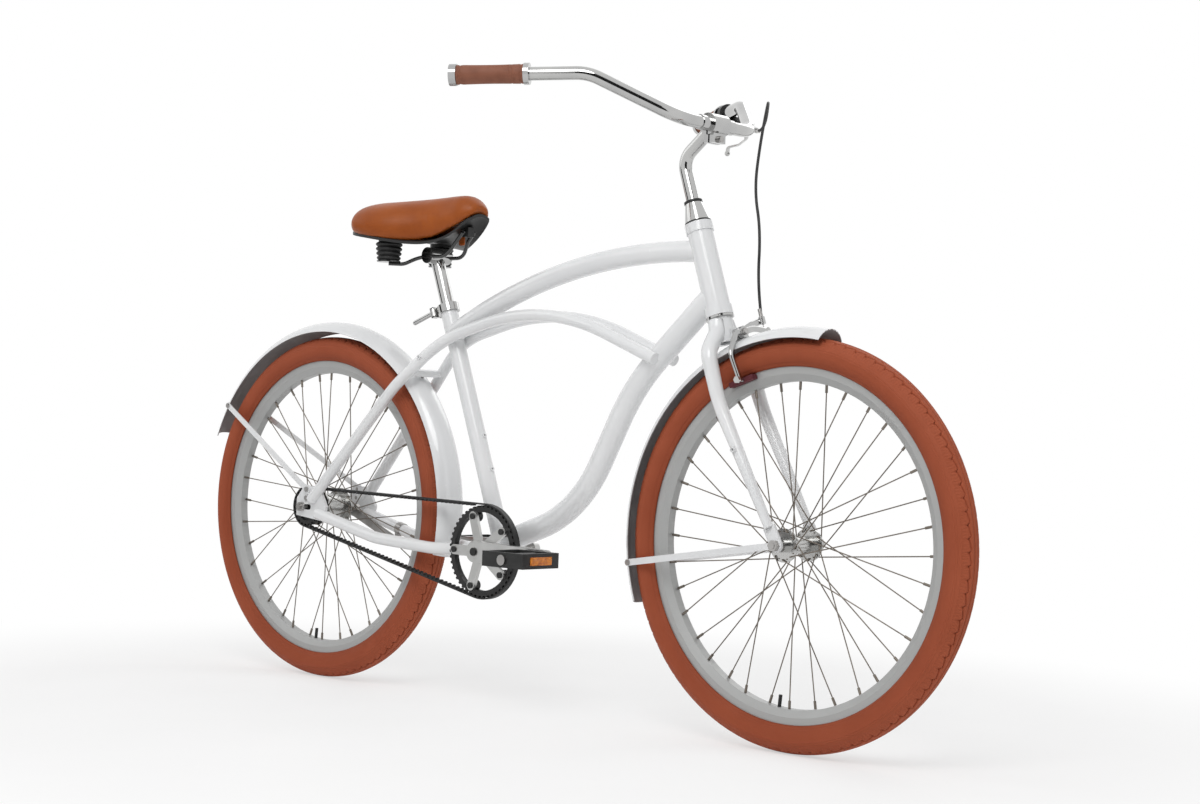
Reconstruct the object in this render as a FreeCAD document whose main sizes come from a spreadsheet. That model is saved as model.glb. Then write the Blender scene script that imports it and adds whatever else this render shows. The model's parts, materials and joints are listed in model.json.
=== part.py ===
import FreeCAD, Part
import math
import os
from types import SimpleNamespace

import Sketcher
from FreeCAD import Placement, Rotation, Vector

# Beach cruiser bicycle with a belt drive. +X is forward, +Y is the rider's left, +Z is up.
# The origin is on the ground, midway along the whole bicycle. Lengths are in millimetres.
# Places along the bicycle are measured from the rear axle.

SIZES = {
    # Wheels
    "wheelbase": 1136.5,
    "tyre_radius": 332.0,
    "tyre_width": 54.0,
    "tyre_casing": 3.5,
    "inner_tube_wall": 1.2,
    "inner_tube_gap": 1.0,
    "valve_radius": 3.0,
    "valve_length": 42.0,
    "valve_angle": 265.0,
    "rim_radius": 286.0,
    "rim_width": 30.0,
    "rim_depth": 25.0,
    "rim_track": 13.0,
    "rim_lip": 2.4,
    "rim_well": 8.0,
    "rim_inner_width": 16.0,
    "rim_wall": 2.2,
    "spoke_radius": 1.0,
    "spokes_per_flange": 18.0,
    "spoke_crossings": 3.0,
    "spoke_rim_offset": 4.0,
    "spoke_elbow": 1.25,
    "spoke_rest": 1.5,
    "nipple_radius": 2.2,
    "nipple_length": 13.0,
    "flange_thickness": 3.4,
    "front_flange_radius": 27.0,
    "front_flange_offset": 33.0,
    "front_hub_radius": 14.0,
    "front_hub_half": 45.0,
    "front_axle_radius": 4.75,
    "front_axle_half": 66.0,
    "rear_flange_radius": 36.0,
    "rear_flange_offset": 29.0,
    "rear_hub_radius": 25.0,
    "rear_hub_right": 44.2,
    "rear_hub_left": 43.6,
    "hub_end_radius": 11.0,
    "rear_hub_end_radius": 17.0,
    "axle_cone_radius": 8.5,
    "flange_rim": 4.5,
    "rear_axle_radius": 5.0,
    "rear_axle_half": 78.0,
    "nut_radius": 9.5,
    "nut_height": 8.0,
    "running_gap": 0.05,
    "fit_gap": 0.3,
    # Frame
    "head_angle": 71.17,
    "fork_rake": 45.4,
    "head_tube_start": 386.0,
    "head_tube_length": 164.0,
    "head_tube_radius": 21.5,
    "head_tube_bore": 18.0,
    "head_collar_radius": 23.5,
    "head_collar_height": 16.0,
    "bearing_radius": 20.0,
    "bearing_height": 10.0,
    "bottom_bracket_drop": 54.0,
    "bottom_bracket_radius": 21.0,
    "bottom_bracket_half": 34.0,
    "cartridge_radius": 17.4,
    "cartridge_gap": 0.1,
    "spindle_radius": 8.5,
    "seat_angle": 69.3,
    "seat_tube_radius": 15.9,
    "seat_tube_length": 476.0,
    "tube_wall": 1.6,
    "top_tube_radius": 18.0,
    "top_tube_front_x": 922.0,
    "top_tube_front_z": 806.5,
    "top_tube_crest_x": 607.0,
    "top_tube_crest_z": 816.3,
    "top_tube_rear_x": 345.0,
    "top_tube_rear_z": 674.0,
    "down_tube_radius": 20.5,
    "down_tube_head_x": 951.0,
    "down_tube_head_z": 734.0,
    "down_tube_knee_x": 784.0,
    "down_tube_knee_z": 581.0,
    "down_tube_knee_bend": 400.0,
    "down_tube_heel_x": 666.0,
    "down_tube_heel_z": 359.0,
    "down_tube_heel_bend": 250.0,
    "down_tube_foot_rise": 15.0,
    "stay_radius": 10.5,
    "stay_front_x": 848.0,
    "stay_front_z": 625.4,
    "stay_cap": 3.0,
    "stay_inner_y": 26.0,
    "stay_crest_x": 588.5,
    "stay_crest_z": 725.9,
    "stay_crest_bend": 490.0,
    "stay_waist_x": 330.0,
    "stay_waist_z": 657.0,
    "stay_waist_bend": 220.0,
    "stay_hip_x": 235.0,
    "stay_hip_y": 50.0,
    "stay_hip_z": 571.0,
    "stay_hip_bend": 300.0,
    "stay_rear_x": 30.0,
    "stay_rear_y": 69.5,
    "stay_rear_z": 346.0,
    "chainstay_radius": 11.0,
    "chainstay_rear_x": 42.0,
    "chainstay_rear_z": 321.0,
    "chainstay_hip_x": 200.0,
    "chainstay_hip_y": 54.0,
    "chainstay_hip_z": 284.0,
    "chainstay_hip_bend": 200.0,
    "chainstay_waist_x": 345.0,
    "chainstay_waist_y": 48.0,
    "chainstay_waist_z": 275.0,
    "chainstay_waist_bend": 60.0,
    "chainstay_neck_x": 408.0,
    "chainstay_neck_y": 22.5,
    "chainstay_neck_bend": 60.0,
    "dropout_gap_half": 60.0,
    "dropout_thickness": 6.0,
    "dropout_slot_radius": 5.2,
    "dropout_slot_length": 26.0,
    "dropout_slot_back": 6.5,
    "dropout_corner": 17.0,
    "dropout_top_x": 30.0,
    "dropout_top_z": 40.0,
    "dropout_front_x": 62.0,
    "dropout_front_drop": 25.5,
    "dropout_front_lean": 6.8,
    "dropout_front_rise": 3.4,
    "dropout_top_rear_x": 3.4,
    "splice_low_x": 11.9,
    "splice_high_x": 13.6,
    "splice_high_drop": 5.95,
    "dropout_bolt_radius": 3.5,
    "seat_bridge_place": 93.0,
    "bridge_radius": 7.0,
    "chainstay_bridge_x": 382.0,
    "chainstay_bridge_half": 36.0,
    "boss_radius": 4.5,
    "boss_hole_radius": 2.1,
    "boss_height": 3.0,
    "bottle_boss_low": 150.0,
    "bottle_boss_spacing": 64.0,
    "rack_boss_place": 50.0,
    "fork_boss_place": 85.0,
    # Fork and headset
    "steerer_radius": 12.7,
    "steerer_top": 584.0,
    "crown_radius": 19.5,
    "crown_start": 340.0,
    "race_radius": 23.5,
    "race_height": 4.0,
    "seal_radius": 22.0,
    "seal_height": 3.0,
    "cone_radius": 22.0,
    "cone_top_radius": 14.5,
    "cone_height": 33.0,
    "cap_radius": 15.5,
    "cap_height": 4.0,
    "blade_top_radius": 14.5,
    "blade_end_radius": 7.5,
    "blade_wall": 2.0,
    "blade_root": 376.0,
    "blade_root_y": 11.0,
    "blade_neck": 357.0,
    "blade_neck_y": 17.0,
    "blade_shoulder": 322.0,
    "blade_shoulder_y": 53.0,
    "blade_neck_bend": 30.0,
    "blade_shoulder_bend": 36.0,
    "blade_knee": 235.0,
    "blade_knee_y": 56.0,
    "blade_knee_bend": 300.0,
    "blade_end": 30.0,
    "blade_end_y": 54.0,
    "fork_boss_reach": 14.0,
    "fork_gap_half": 50.0,
    "fork_plate_thickness": 5.0,
    "fork_plate_radius": 11.0,
    # Stem, bar and grips
    "quill_radius": 11.1,
    "quill_start": 455.0,
    "stem_bend_height": 665.6,
    "stem_bend": 32.0,
    "bar_x": 940.0,
    "bar_z": 1016.0,
    "bar_clamp_radius": 12.7,
    "bar_clamp_half": 42.0,
    "bar_radius": 11.1,
    "bar_wall": 1.8,
    "stem_clamp_radius": 18.0,
    "stem_clamp_half": 21.0,
    "stem_lug_half": 15.75,
    "stem_lug_depth": 31.0,
    "stem_lug_width": 20.0,
    "stem_slit": 3.0,
    "stem_bolt_radius": 3.0,
    "stem_bolt_head": 5.5,
    "bar_bend_y": 95.0,
    "bar_bend_radius": 70.0,
    "bar_shoulder_x": 834.0,
    "bar_shoulder_y": 201.0,
    "bar_shoulder_z": 1082.0,
    "bar_shoulder_radius": 80.0,
    "bar_end_x": 645.0,
    "bar_end_y": 325.0,
    "bar_end_z": 1076.0,
    "grip_radius": 16.0,
    "grip_length": 112.0,
    "lock_ring_radius": 18.0,
    "lock_ring_width": 9.0,
    "end_cap_height": 3.0,
    # Front brake
    "lever_clamp_place": 79.0,
    "lever_clamp_radius": 16.0,
    "lever_clamp_width": 16.0,
    "lever_roll": 31.0,
    "lever_body_width": 15.0,
    "lever_pivot_forward": 47.0,
    "lever_pivot_drop": 38.0,
    "lever_pin_radius": 3.0,
    "lever_pivot_boss": 8.0,
    "lever_heel_rise": 12.0,
    "lever_chin_ahead": 20.8,
    "lever_chin_drop": 14.0,
    "lever_nose_ahead": 28.8,
    "lever_brow_rise": 17.6,
    "lever_slot_back": 26.0,
    "lever_slot_drop": 22.0,
    "lever_slot_length": 36.0,
    "lever_slot_height": 32.0,
    "lever_blade_width": 9.0,
    "lever_blade_depth": 4.0,
    "lever_blade_reach": 75.0,
    "lever_blade_drop": 60.0,
    "lever_hook": 20.0,
    "lever_hook_start": 17.0,
    "lever_tip_drop": 6.0,
    "lever_reach_bend": 40.0,
    "lever_tip_bend": 15.0,
    "lever_tip_radius": 5.0,
    "adjuster_tilt": 17.5,
    "adjuster_ahead": 26.0,
    "adjuster_drop": 6.0,
    "adjuster_radius": 5.0,
    "adjuster_length": 20.0,
    "cable_radius": 2.5,
    "cable_lead": 30.0,
    "cable_tail": 55.0,
    "brake_pivot_height": 346.0,
    "brake_pivot_forward": 33.0,
    "brake_bolt_radius": 4.0,
    "brake_hub_radius": 10.0,
    "brake_arm_radius": 5.5,
    "brake_arm_depth": 4.2,
    "brake_arm_layer": 4.8,
    "brake_arm_neck": 18.0,
    "brake_arm_low_bend": 22.0,
    "brake_arm_high_bend": 16.5,
    "wire_anchor_length": 13.5,
    "brake_anchor_crest": 9.0,
    "brake_stop_knee_y": 40.8,
    "brake_stop_knee_rise": 18.2,
    "wire_hole_length": 104.0,
    "brake_arm_width": 45.0,
    "brake_reach": 83.5,
    "brake_arm_lean": 8.0,
    "brake_arm_shoulder": 38.0,
    "brake_cable_y": 68.0,
    "brake_stop_rise": 26.0,
    "brake_stop_height": 12.0,
    "brake_anchor_rise": 6.0,
    "wire_radius": 0.8,
    "wire_clearance": 0.8,
    "wire_length": 36.0,
    "pad_bolt_radius": 3.0,
    "pad_bolt_length": 18.0,
    "pad_nut_radius": 6.0,
    "pad_nut_height": 4.0,
    "brake_pad_gap": 2.0,
    "brake_pad_depth": 12.0,
    "brake_pad_length": 50.0,
    "brake_pad_height": 8.0,
    # Mudguards
    "guard_half_width": 32.0,
    "guard_wall": 1.5,
    "front_guard_radius": 349.0,
    "front_guard_drop": 19.0,
    "front_guard_first": 81.0,
    "front_guard_last": 200.0,
    "rear_guard_radius": 361.0,
    "rear_guard_drop": 20.0,
    "rear_guard_first": -12.0,
    "rear_guard_last": 158.0,
    "stay_strip_width": 11.0,
    "stay_strip_thickness": 2.0,
    "front_strip_angle": 188.8,
    "rear_strip_angle": 146.0,
    "strip_eye_radius": 9.0,
    "strip_flat": 18.0,
    "strip_end_y": 33.6,
    "strip_end_margin": 3.0,
    "bracket_width": 16.0,
    "bracket_drop": 20.0,
    "bracket_height": 32.0,
    "bolt_head_radius": 5.0,
    "bolt_head_height": 2.5,
    "guard_bolt_radius": 3.0,
    "guard_hole_length": 60.0,
    # Belt drive and cranks
    "belt_pitch": 11.0,
    "ring_teeth": 48.0,
    "sprocket_teeth": 22.0,
    "sprocket_recess": 3.0,
    "sprocket_core_radius": 13.0,
    "sprocket_recess_radius": 27.0,
    "belt_teeth": 124.0,
    "belt_line": 50.0,
    "belt_width": 11.0,
    "belt_back": 1.5,
    "belt_root": 1.2,
    "belt_tooth": 3.2,
    "belt_tooth_root": 3.0,
    "belt_tooth_tip": 1.9,
    "belt_gap": 0.5,
    "ring_bolt_circle": 65.0,
    "ring_inner_radius": 70.0,
    "ring_tab_radius": 9.5,
    "ring_bolt_radius": 4.0,
    "ring_bolt_head": 5.5,
    "spider_arms": 5.0,
    "spider_arm_radius": 9.0,
    "spider_thickness": 6.0,
    "crank_length": 168.0,
    "crank_end_radius": 14.0,
    "crank_hub_radius": 19.0,
    "crank_inner": 63.0,
    "crank_thickness": 13.0,
    "crank_bolt_radius": 7.0,
    "crank_bolt_height": 3.0,
    "pedal_start": 86.0,
    "pedal_width": 88.0,
    "pedal_length": 96.0,
    "pedal_height": 26.0,
    "pedal_rail": 9.0,
    "pedal_hub_radius": 11.0,
    "pedal_spindle_radius": 6.0,
    "pedal_cap_radius": 9.0,
    "pedal_cap_height": 4.0,
    "reflector_proud": 1.0,
    "pedal_plate": 8.0,
    "reflector_width": 52.0,
    "reflector_height": 14.0,
    "reflector_depth": 4.0,
    # Coaster brake arm
    "coaster_inner": 44.0,
    "coaster_thickness": 3.0,
    "coaster_hub_radius": 17.0,
    "coaster_arm_half": 8.0,
    "clip_tab_height": 26.0,
    "coaster_clip_x": 150.0,
    "coaster_drop": 60.0,
    "coaster_bolt_radius": 3.0,
    "coaster_clip_width": 14.0,
    "coaster_clip_wall": 1.5,
    # Seat
    "seatpost_radius": 12.7,
    "seatpost_bottom": 330.0,
    "seatpost_top": 566.0,
    "seatpost_wall": 2.0,
    "seat_slide_gap": 0.08,
    "clamp_radius": 20.0,
    "clamp_height": 15.0,
    "clamp_lug": 29.0,
    "clamp_ear_half": 8.0,
    "clamp_slit": 3.0,
    "clamp_bolt_place": 24.0,
    "clamp_bolt_radius": 3.0,
    "clevis_plate": 2.0,
    "clevis_half": 4.0,
    "clamp_pin_reach": 8.5,
    "clamp_pin_radius": 2.5,
    "clamp_cam_radius": 6.0,
    "clamp_lever_length": 52.0,
    "clamp_lever_radius": 4.5,
    "saddle_clamp_x": 283.0,
    "saddle_clamp_z": 815.0,
    "saddle_clamp_radius": 15.0,
    "saddle_clamp_half": 26.0,
    "rail_radius": 3.5,
    "rail_drop": 5.5,
    "rail_foot_x": 240.0,
    "rail_foot_y": 44.0,
    "rail_seat_x": 258.0,
    "rail_seat_y": 22.0,
    "rail_seat_z": 812.0,
    "rail_front_x": 330.0,
    "rail_rise_x": 350.0,
    "rail_rise_y": 14.0,
    "rail_rise_z": 842.0,
    "rail_bend": 30.0,
    "nose_pin_x": 364.0,
    "nose_pin_z": 856.0,
    "nose_pin_radius": 4.0,
    "nose_pin_half": 15.0,
    "nose_lug_half": 8.0,
    "nose_lug_height": 17.5,
    "boot_x": 222.0,
    "boot_y": 66.0,
    "boot_base_z": 803.0,
    "boot_disc_radius": 22.0,
    "boot_disc_height": 3.0,
    "boot_height": 34.0,
    "boot_puck_height": 6.9,
    "boot_radius": 25.0,
    "boot_neck_radius": 20.0,
    "boot_wall": 2.5,
    "boot_ribs": 4.0,
    "spring_radius": 14.0,
    "spring_wire": 3.0,
    "saddle_rear_x": 132.0,
    "saddle_length": 264.0,
    "saddle_half_width": 112.0,
    "saddle_level": 838.0,
    "saddle_thickness": 83.0,
    "saddle_hollow": 10.0,
    "saddle_gap": 1.5,
    "saddle_base_thickness": 5.0,
    "saddle_base_lip": 1.5,
}

doc = FreeCAD.newDocument("beach_cruiser")
sheet = doc.addObject("Spreadsheet::Sheet", "Sizes")
for row, (alias, amount) in enumerate(SIZES.items(), start=1):
    sheet.set(f"A{row}", alias)
    sheet.set(f"B{row}", str(amount))
    sheet.setAlias(f"B{row}", alias)
doc.recompute()


class Size:
    """A value of the sheet, or a sum of such values, with the formula that a property is bound to."""

    def __init__(self, formula, value):
        self.formula = formula
        self.value = float(value)

    def __float__(self):
        return self.value

    def joined(self, sign, other, value):
        right = other.formula if isinstance(other, Size) else str(other)
        return Size(f"({self.formula} {sign} {right})", value)

    def __add__(self, other):
        return self.joined("+", other, self.value + float(other))

    def __sub__(self, other):
        return self.joined("-", other, self.value - float(other))

    def __mul__(self, other):
        return self.joined("*", other, self.value * float(other))

    def __truediv__(self, other):
        return self.joined("/", other, self.value / float(other))

    def __neg__(self):
        return Size(f"(0 - {self.formula})", -self.value)


dim = SimpleNamespace(**{alias: Size(f"Sizes.{alias}", sheet.get(alias)) for alias in SIZES})
nodes = []


def bind(target, **sizes):
    """Ties properties of an object to the sheet."""
    for name, value in sizes.items():
        if isinstance(value, Size):
            target.setExpression(name, value.formula)
        else:
            setattr(target, name, value)


def node(target):
    """Marks an object as a sub-part that is written to its own file."""
    nodes.append(target)
    return target


def point(x, y, z):
    return Vector(float(x), float(y), float(z))


def polar(degrees, radius):
    """A place round an axle in the wheel's plane, from +X towards +Z."""
    turn = math.radians(float(degrees))
    return Vector(float(radius) * math.cos(turn), 0, float(radius) * math.sin(turn))


AXIS_X = Vector(1, 0, 0)
AXIS_Y = Vector(0, 1, 0)
AXIS_Z = Vector(0, 0, 1)
SIDES = {"right": -1, "left": 1}


def facing(base, axis):
    """A placement whose local Z runs along the axis."""
    return Placement(base, Rotation(AXIS_Z, axis))


def framed(base, x_axis, z_axis):
    """A placement whose local X and Z run along the two directions."""
    return Placement(base, Rotation(x_axis, z_axis.cross(x_axis), z_axis, "XZY"))


def cylinder(name, base, axis, radius, height):
    solid = doc.addObject("Part::Cylinder", name)
    bind(solid, Radius=radius, Height=height)
    solid.Placement = facing(base, axis)
    return solid


def cone(name, base, axis, radius, top_radius, height):
    solid = doc.addObject("Part::Cone", name)
    bind(solid, Radius1=radius, Radius2=top_radius, Height=height)
    solid.Placement = facing(base, axis)
    return solid


def torus(name, centre, ring_radius, section_radius):
    """A ring round an axle."""
    solid = doc.addObject("Part::Torus", name)
    bind(solid, Radius1=ring_radius, Radius2=section_radius)
    solid.Placement = facing(centre, AXIS_Y)
    return solid


def block(name, frame, corner, length, width, height):
    """A box in a local frame, from its lowest corner."""
    solid = doc.addObject("Part::Box", name)
    bind(solid, Length=length, Width=width, Height=height)
    solid.Placement = frame.multiply(Placement(point(*corner), Rotation()))
    return solid


def hexagon(name, base, axis, radius, height):
    solid = doc.addObject("Part::Prism", name)
    solid.Polygon = 6
    bind(solid, Circumradius=radius, Height=height)
    solid.Placement = facing(base, axis)
    return solid


def fuse(name, *solids):
    result = doc.addObject("Part::MultiFuse", name)
    result.Shapes = list(solids)
    return result


def cut(name, base, *tools):
    result = doc.addObject("Part::Cut", name)
    result.Base = base
    result.Tool = tools[0] if len(tools) == 1 else fuse(f"{name}_tools", *tools)
    return result


def group(name, *solids):
    """Separate solids in one sub-part."""
    result = doc.addObject("Part::Compound", name)
    result.Links = list(solids)
    return result


def shaped(name, shape, placement=Placement()):
    """A sub-part or tool whose shape is worked out here."""
    result = doc.addObject("Part::Feature", name)
    result.Shape = shape
    result.Placement = placement
    return result


def bent_path(points, bends):
    """Straight runs joined by tangent arcs, one bend radius for each inner point."""
    edges = []
    start = points[0]
    for before, corner, after, bend in zip(points, points[1:], points[2:], bends):
        back = (before - corner).normalize()
        ahead = (after - corner).normalize()
        half = back.getAngle(ahead) / 2
        first = corner + back * (float(bend) / math.tan(half))
        last = corner + ahead * (float(bend) / math.tan(half))
        middle = corner + (back + ahead).normalize() * (float(bend) / math.sin(half) - float(bend))
        edges.append(Part.LineSegment(start, first).toShape())
        edges.append(Part.Arc(first, middle, last).toShape())
        start = last
    edges.append(Part.LineSegment(start, points[-1]).toShape())
    return Part.Wire(edges)


def widest_bend(before, corner, after, share):
    """The bend radius whose arc takes up a share of the shorter run."""
    back = before - corner
    ahead = after - corner
    half = back.getAngle(ahead) / 2
    return share * min(back.Length, ahead.Length) * math.tan(half)


def circle(name, centre, axis, radius):
    section = doc.addObject("Part::Circle", name)
    bind(section, Radius=radius)
    section.Placement = facing(centre, axis)
    return section


def swept(name, points, bends, radius, end_radius=None):
    """A round bar along a bent path, tapered where it has an end radius."""
    spine = shaped(f"{name}_path", bent_path(points, bends))
    sections = [circle(f"{name}_start", points[0], points[1] - points[0], radius)]
    if end_radius is not None:
        sections.append(circle(f"{name}_end", points[-1], points[-1] - points[-2], end_radius))
    solid = doc.addObject("Part::Sweep", name)
    solid.Sections = sections
    solid.Spine = (spine, [])
    solid.Solid = True
    return solid


def flat_swept(name, points, bends, side, half_width, half_depth):
    """A flattened bar along a bent path, widest along the side direction."""
    spine = shaped(f"{name}_path", bent_path(points, bends))
    section = doc.addObject("Part::Ellipse", f"{name}_start")
    bind(section, MajorRadius=half_width, MinorRadius=half_depth)
    section.Placement = framed(points[0], side, (points[1] - points[0]).normalize())
    solid = doc.addObject("Part::Sweep", name)
    solid.Sections = [section]
    solid.Spine = (spine, [])
    solid.Solid = True
    return solid


def sketched(body, name, role, loops):
    """A sketch of closed outlines, each corner tied to the sheet."""
    sketch = body.newObject("Sketcher::SketchObject", name)
    plane = next(feature for feature in body.Origin.OriginFeatures if feature.Role == role)
    sketch.AttachmentSupport = [(plane, "")]
    sketch.MapMode = "FlatFace"
    for corners in loops:
        first = sketch.GeometryCount
        count = len(corners)
        spots = [Vector(float(x), float(y), 0) for x, y in corners]
        for index in range(count):
            sketch.addGeometry(Part.LineSegment(spots[index], spots[(index + 1) % count]), False)
        for index in range(count):
            following = first + (index + 1) % count
            sketch.addConstraint(Sketcher.Constraint("Coincident", first + index, 2, following, 1))
        for index, corner in enumerate(corners):
            for kind, value in zip(("DistanceX", "DistanceY"), corner):
                place = sketch.addConstraint(
                    Sketcher.Constraint(kind, -1, 1, first + index, 1, float(value)))
                if isinstance(value, Size):
                    sketch.setExpression(f"Constraints[{place}]", value.formula)
    return sketch


def turned(name, centre, loops):
    """A body turned about the Y axis from outlines of (radius, y)."""
    body = doc.addObject("PartDesign::Body", name)
    sketch = sketched(body, f"{name}_profile", "XY_Plane", loops)
    turn = body.newObject("PartDesign::Revolution", f"{name}_turn")
    turn.Profile = sketch
    turn.ReferenceAxis = (sketch, ["V_Axis"])
    turn.Angle = 360
    body.Placement = Placement(centre, Rotation())
    return body


def plate(name, placement, loops, thickness):
    """A flat body from outlines of (x, z), thick towards local +Y."""
    body = doc.addObject("PartDesign::Body", name)
    sketch = sketched(body, f"{name}_outline", "XZ_Plane", loops)
    pad = body.newObject("PartDesign::Pad", f"{name}_pad")
    pad.Profile = sketch
    bind(pad, Length=thickness)
    pad.Reversed = True
    body.Placement = placement
    return body


def link(name, start, end, radius, thickness):
    """A flat bar with round ends between two places, thick towards +Y."""
    run = end - start
    frame = framed(start, run.normalize(), AXIS_Y)
    bar = doc.addObject("Part::Box", f"{name}_bar")
    bar.Length = (end - start).Length
    bind(bar, Width=radius * 2, Height=thickness)
    bar.Placement = frame.multiply(Placement(Vector(0, -float(radius), 0), Rotation()))
    ends = [cylinder(f"{name}_{spot}", place, AXIS_Y, radius, thickness)
            for spot, place in (("start", start), ("end", end))]
    return fuse(name, bar, *ends)


# Main places of the bicycle

tail_reach = float(dim.rear_guard_radius) * -math.cos(math.radians(float(dim.rear_guard_last)))
rear_reach = max(float(dim.tyre_radius), tail_reach)
rear_axle_x = (rear_reach - float(dim.wheelbase) - float(dim.tyre_radius)) / 2
rear_axle = point(rear_axle_x, 0, dim.tyre_radius)
front_axle = rear_axle + point(dim.wheelbase, 0, 0)


def at(x, y, z):
    """A place given by its distance ahead of the rear axle."""
    return point(rear_axle_x + float(x), y, z)


ring_pitch_radius = dim.belt_pitch * dim.ring_teeth / (2 * math.pi)
sprocket_pitch_radius = dim.belt_pitch * dim.sprocket_teeth / (2 * math.pi)


def belt_length(centres):
    """Length of the belt's pitch line for a distance between the two axles."""
    difference = float(ring_pitch_radius) - float(sprocket_pitch_radius)
    total = float(ring_pitch_radius) + float(sprocket_pitch_radius)
    slope = math.asin(difference / centres)
    return 2 * centres * math.cos(slope) + math.pi * total + 2 * slope * difference


def belt_centres():
    """The distance between the axles that the belt's whole teeth fill."""
    wanted = float(dim.belt_pitch * dim.belt_teeth)
    low = float(ring_pitch_radius) + float(sprocket_pitch_radius)
    high = wanted
    for _ in range(60):
        middle = (low + high) / 2
        if belt_length(middle) < wanted:
            low = middle
        else:
            high = middle
    return middle


chainstay_reach = math.sqrt(belt_centres() ** 2 - float(dim.bottom_bracket_drop) ** 2)
bottom_bracket = rear_axle + point(chainstay_reach, 0, -dim.bottom_bracket_drop)

head_turn = math.radians(float(dim.head_angle))
head_up = Vector(-math.cos(head_turn), 0, math.sin(head_turn))
head_forward = Vector(math.sin(head_turn), 0, math.cos(head_turn))
head_foot = front_axle - AXIS_X * (float(dim.fork_rake) / math.sin(head_turn))

seat_turn = math.radians(float(dim.seat_angle))
seat_up = Vector(-math.cos(seat_turn), 0, math.sin(seat_turn))
seat_forward = Vector(math.sin(seat_turn), 0, math.cos(seat_turn))


def on_head(height, forward=0, y=0):
    """A place by its height up the steering axis, above the level of the front axle."""
    return head_foot + head_up * float(height) + head_forward * float(forward) + AXIS_Y * float(y)


def on_seat(height):
    """A place up the seat tube's axis, from the bottom bracket."""
    return bottom_bracket + seat_up * float(height)


# Frame

head_outer = fuse(
    "head_outer",
    cylinder("head_barrel", on_head(dim.head_tube_start), head_up,
             dim.head_tube_radius, dim.head_tube_length),
    cylinder("head_low_collar", on_head(dim.head_tube_start), head_up,
             dim.head_collar_radius, dim.head_collar_height),
    cylinder("head_high_collar",
             on_head(dim.head_tube_start + dim.head_tube_length - dim.head_collar_height), head_up,
             dim.head_collar_radius, dim.head_collar_height))
bracket_outer = cylinder(
    "bracket_outer", bottom_bracket - AXIS_Y * float(dim.bottom_bracket_half), AXIS_Y,
    dim.bottom_bracket_radius, dim.bottom_bracket_half * 2)
seat_outer = cylinder("seat_outer", bottom_bracket, seat_up, dim.seat_tube_radius, dim.seat_tube_length)
bearing_starts = {
    "low": on_head(dim.head_tube_start),
    "high": on_head(dim.head_tube_start + dim.head_tube_length - dim.bearing_height),
}


def make_head_tube():
    bore = cylinder("head_bore", on_head(dim.head_tube_start), head_up,
                    dim.head_tube_bore, dim.head_tube_length)
    seats = [cylinder(f"bearing_{end}_seat", start, head_up,
                      dim.bearing_radius + dim.cartridge_gap, dim.bearing_height)
             for end, start in bearing_starts.items()]
    node(cut("head_tube", head_outer, bore, *seats))


def make_bearings():
    """The two headset bearings and the bottom bracket cartridge, fixed in the frame."""
    rings = []
    for end, start in bearing_starts.items():
        outer = cylinder(f"bearing_{end}_outer", start, head_up, dim.bearing_radius, dim.bearing_height)
        inner = cylinder(f"bearing_{end}_inner", start, head_up,
                         dim.steerer_radius + dim.running_gap, dim.bearing_height)
        rings.append(cut(f"bearing_{end}", outer, inner))
    start = bottom_bracket - AXIS_Y * float(dim.bottom_bracket_half)
    outer = cylinder("cartridge_outer", start, AXIS_Y, dim.cartridge_radius, dim.bottom_bracket_half * 2)
    inner = cylinder("cartridge_inner", start, AXIS_Y,
                     dim.spindle_radius + dim.running_gap, dim.bottom_bracket_half * 2)
    node(group("frame_bearings", *rings, cut("bottom_bracket_cartridge", outer, inner)))


def make_bracket_shell():
    bore = cylinder("bracket_bore", bottom_bracket - AXIS_Y * float(dim.bottom_bracket_half), AXIS_Y,
                    dim.cartridge_radius + dim.cartridge_gap, dim.bottom_bracket_half * 2)
    node(cut("bottom_bracket_shell", bracket_outer, bore))


def make_seat_tube():
    """The seat tube with two threaded bottle bosses on its front."""
    bosses = []
    holes = []
    for index in range(2):
        base = on_seat(dim.bottle_boss_low + dim.bottle_boss_spacing * index)
        bosses.append(cylinder(f"bottle_boss_{index}", base, seat_forward,
                               dim.boss_radius, dim.seat_tube_radius + dim.boss_height))
        holes.append(cylinder(f"bottle_hole_{index}", base, seat_forward,
                              dim.boss_hole_radius, dim.seat_tube_radius + dim.boss_height * 2))
    bore = cylinder("seat_bore", bottom_bracket, seat_up,
                    dim.seatpost_radius + dim.seat_slide_gap, dim.seat_tube_length)
    node(cut("seat_tube", fuse("seat_with_bosses", seat_outer, *bosses), bore, bracket_outer, *holes))


top_tube_points = [at(dim.top_tube_front_x, 0, dim.top_tube_front_z),
                   at(dim.top_tube_crest_x, 0, dim.top_tube_crest_z),
                   at(dim.top_tube_rear_x, 0, dim.top_tube_rear_z)]
top_tube_bends = [widest_bend(*top_tube_points, 0.99)]
top_outer = swept("top_outer", top_tube_points, top_tube_bends, dim.top_tube_radius)

down_tube_points = [at(dim.down_tube_head_x, 0, dim.down_tube_head_z),
                    at(dim.down_tube_knee_x, 0, dim.down_tube_knee_z),
                    at(dim.down_tube_heel_x, 0, dim.down_tube_heel_z),
                    bottom_bracket + AXIS_Z * float(dim.down_tube_foot_rise)]
down_tube_bends = [dim.down_tube_knee_bend, dim.down_tube_heel_bend]
down_outer = swept("down_outer", down_tube_points, down_tube_bends, dim.down_tube_radius)


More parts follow.
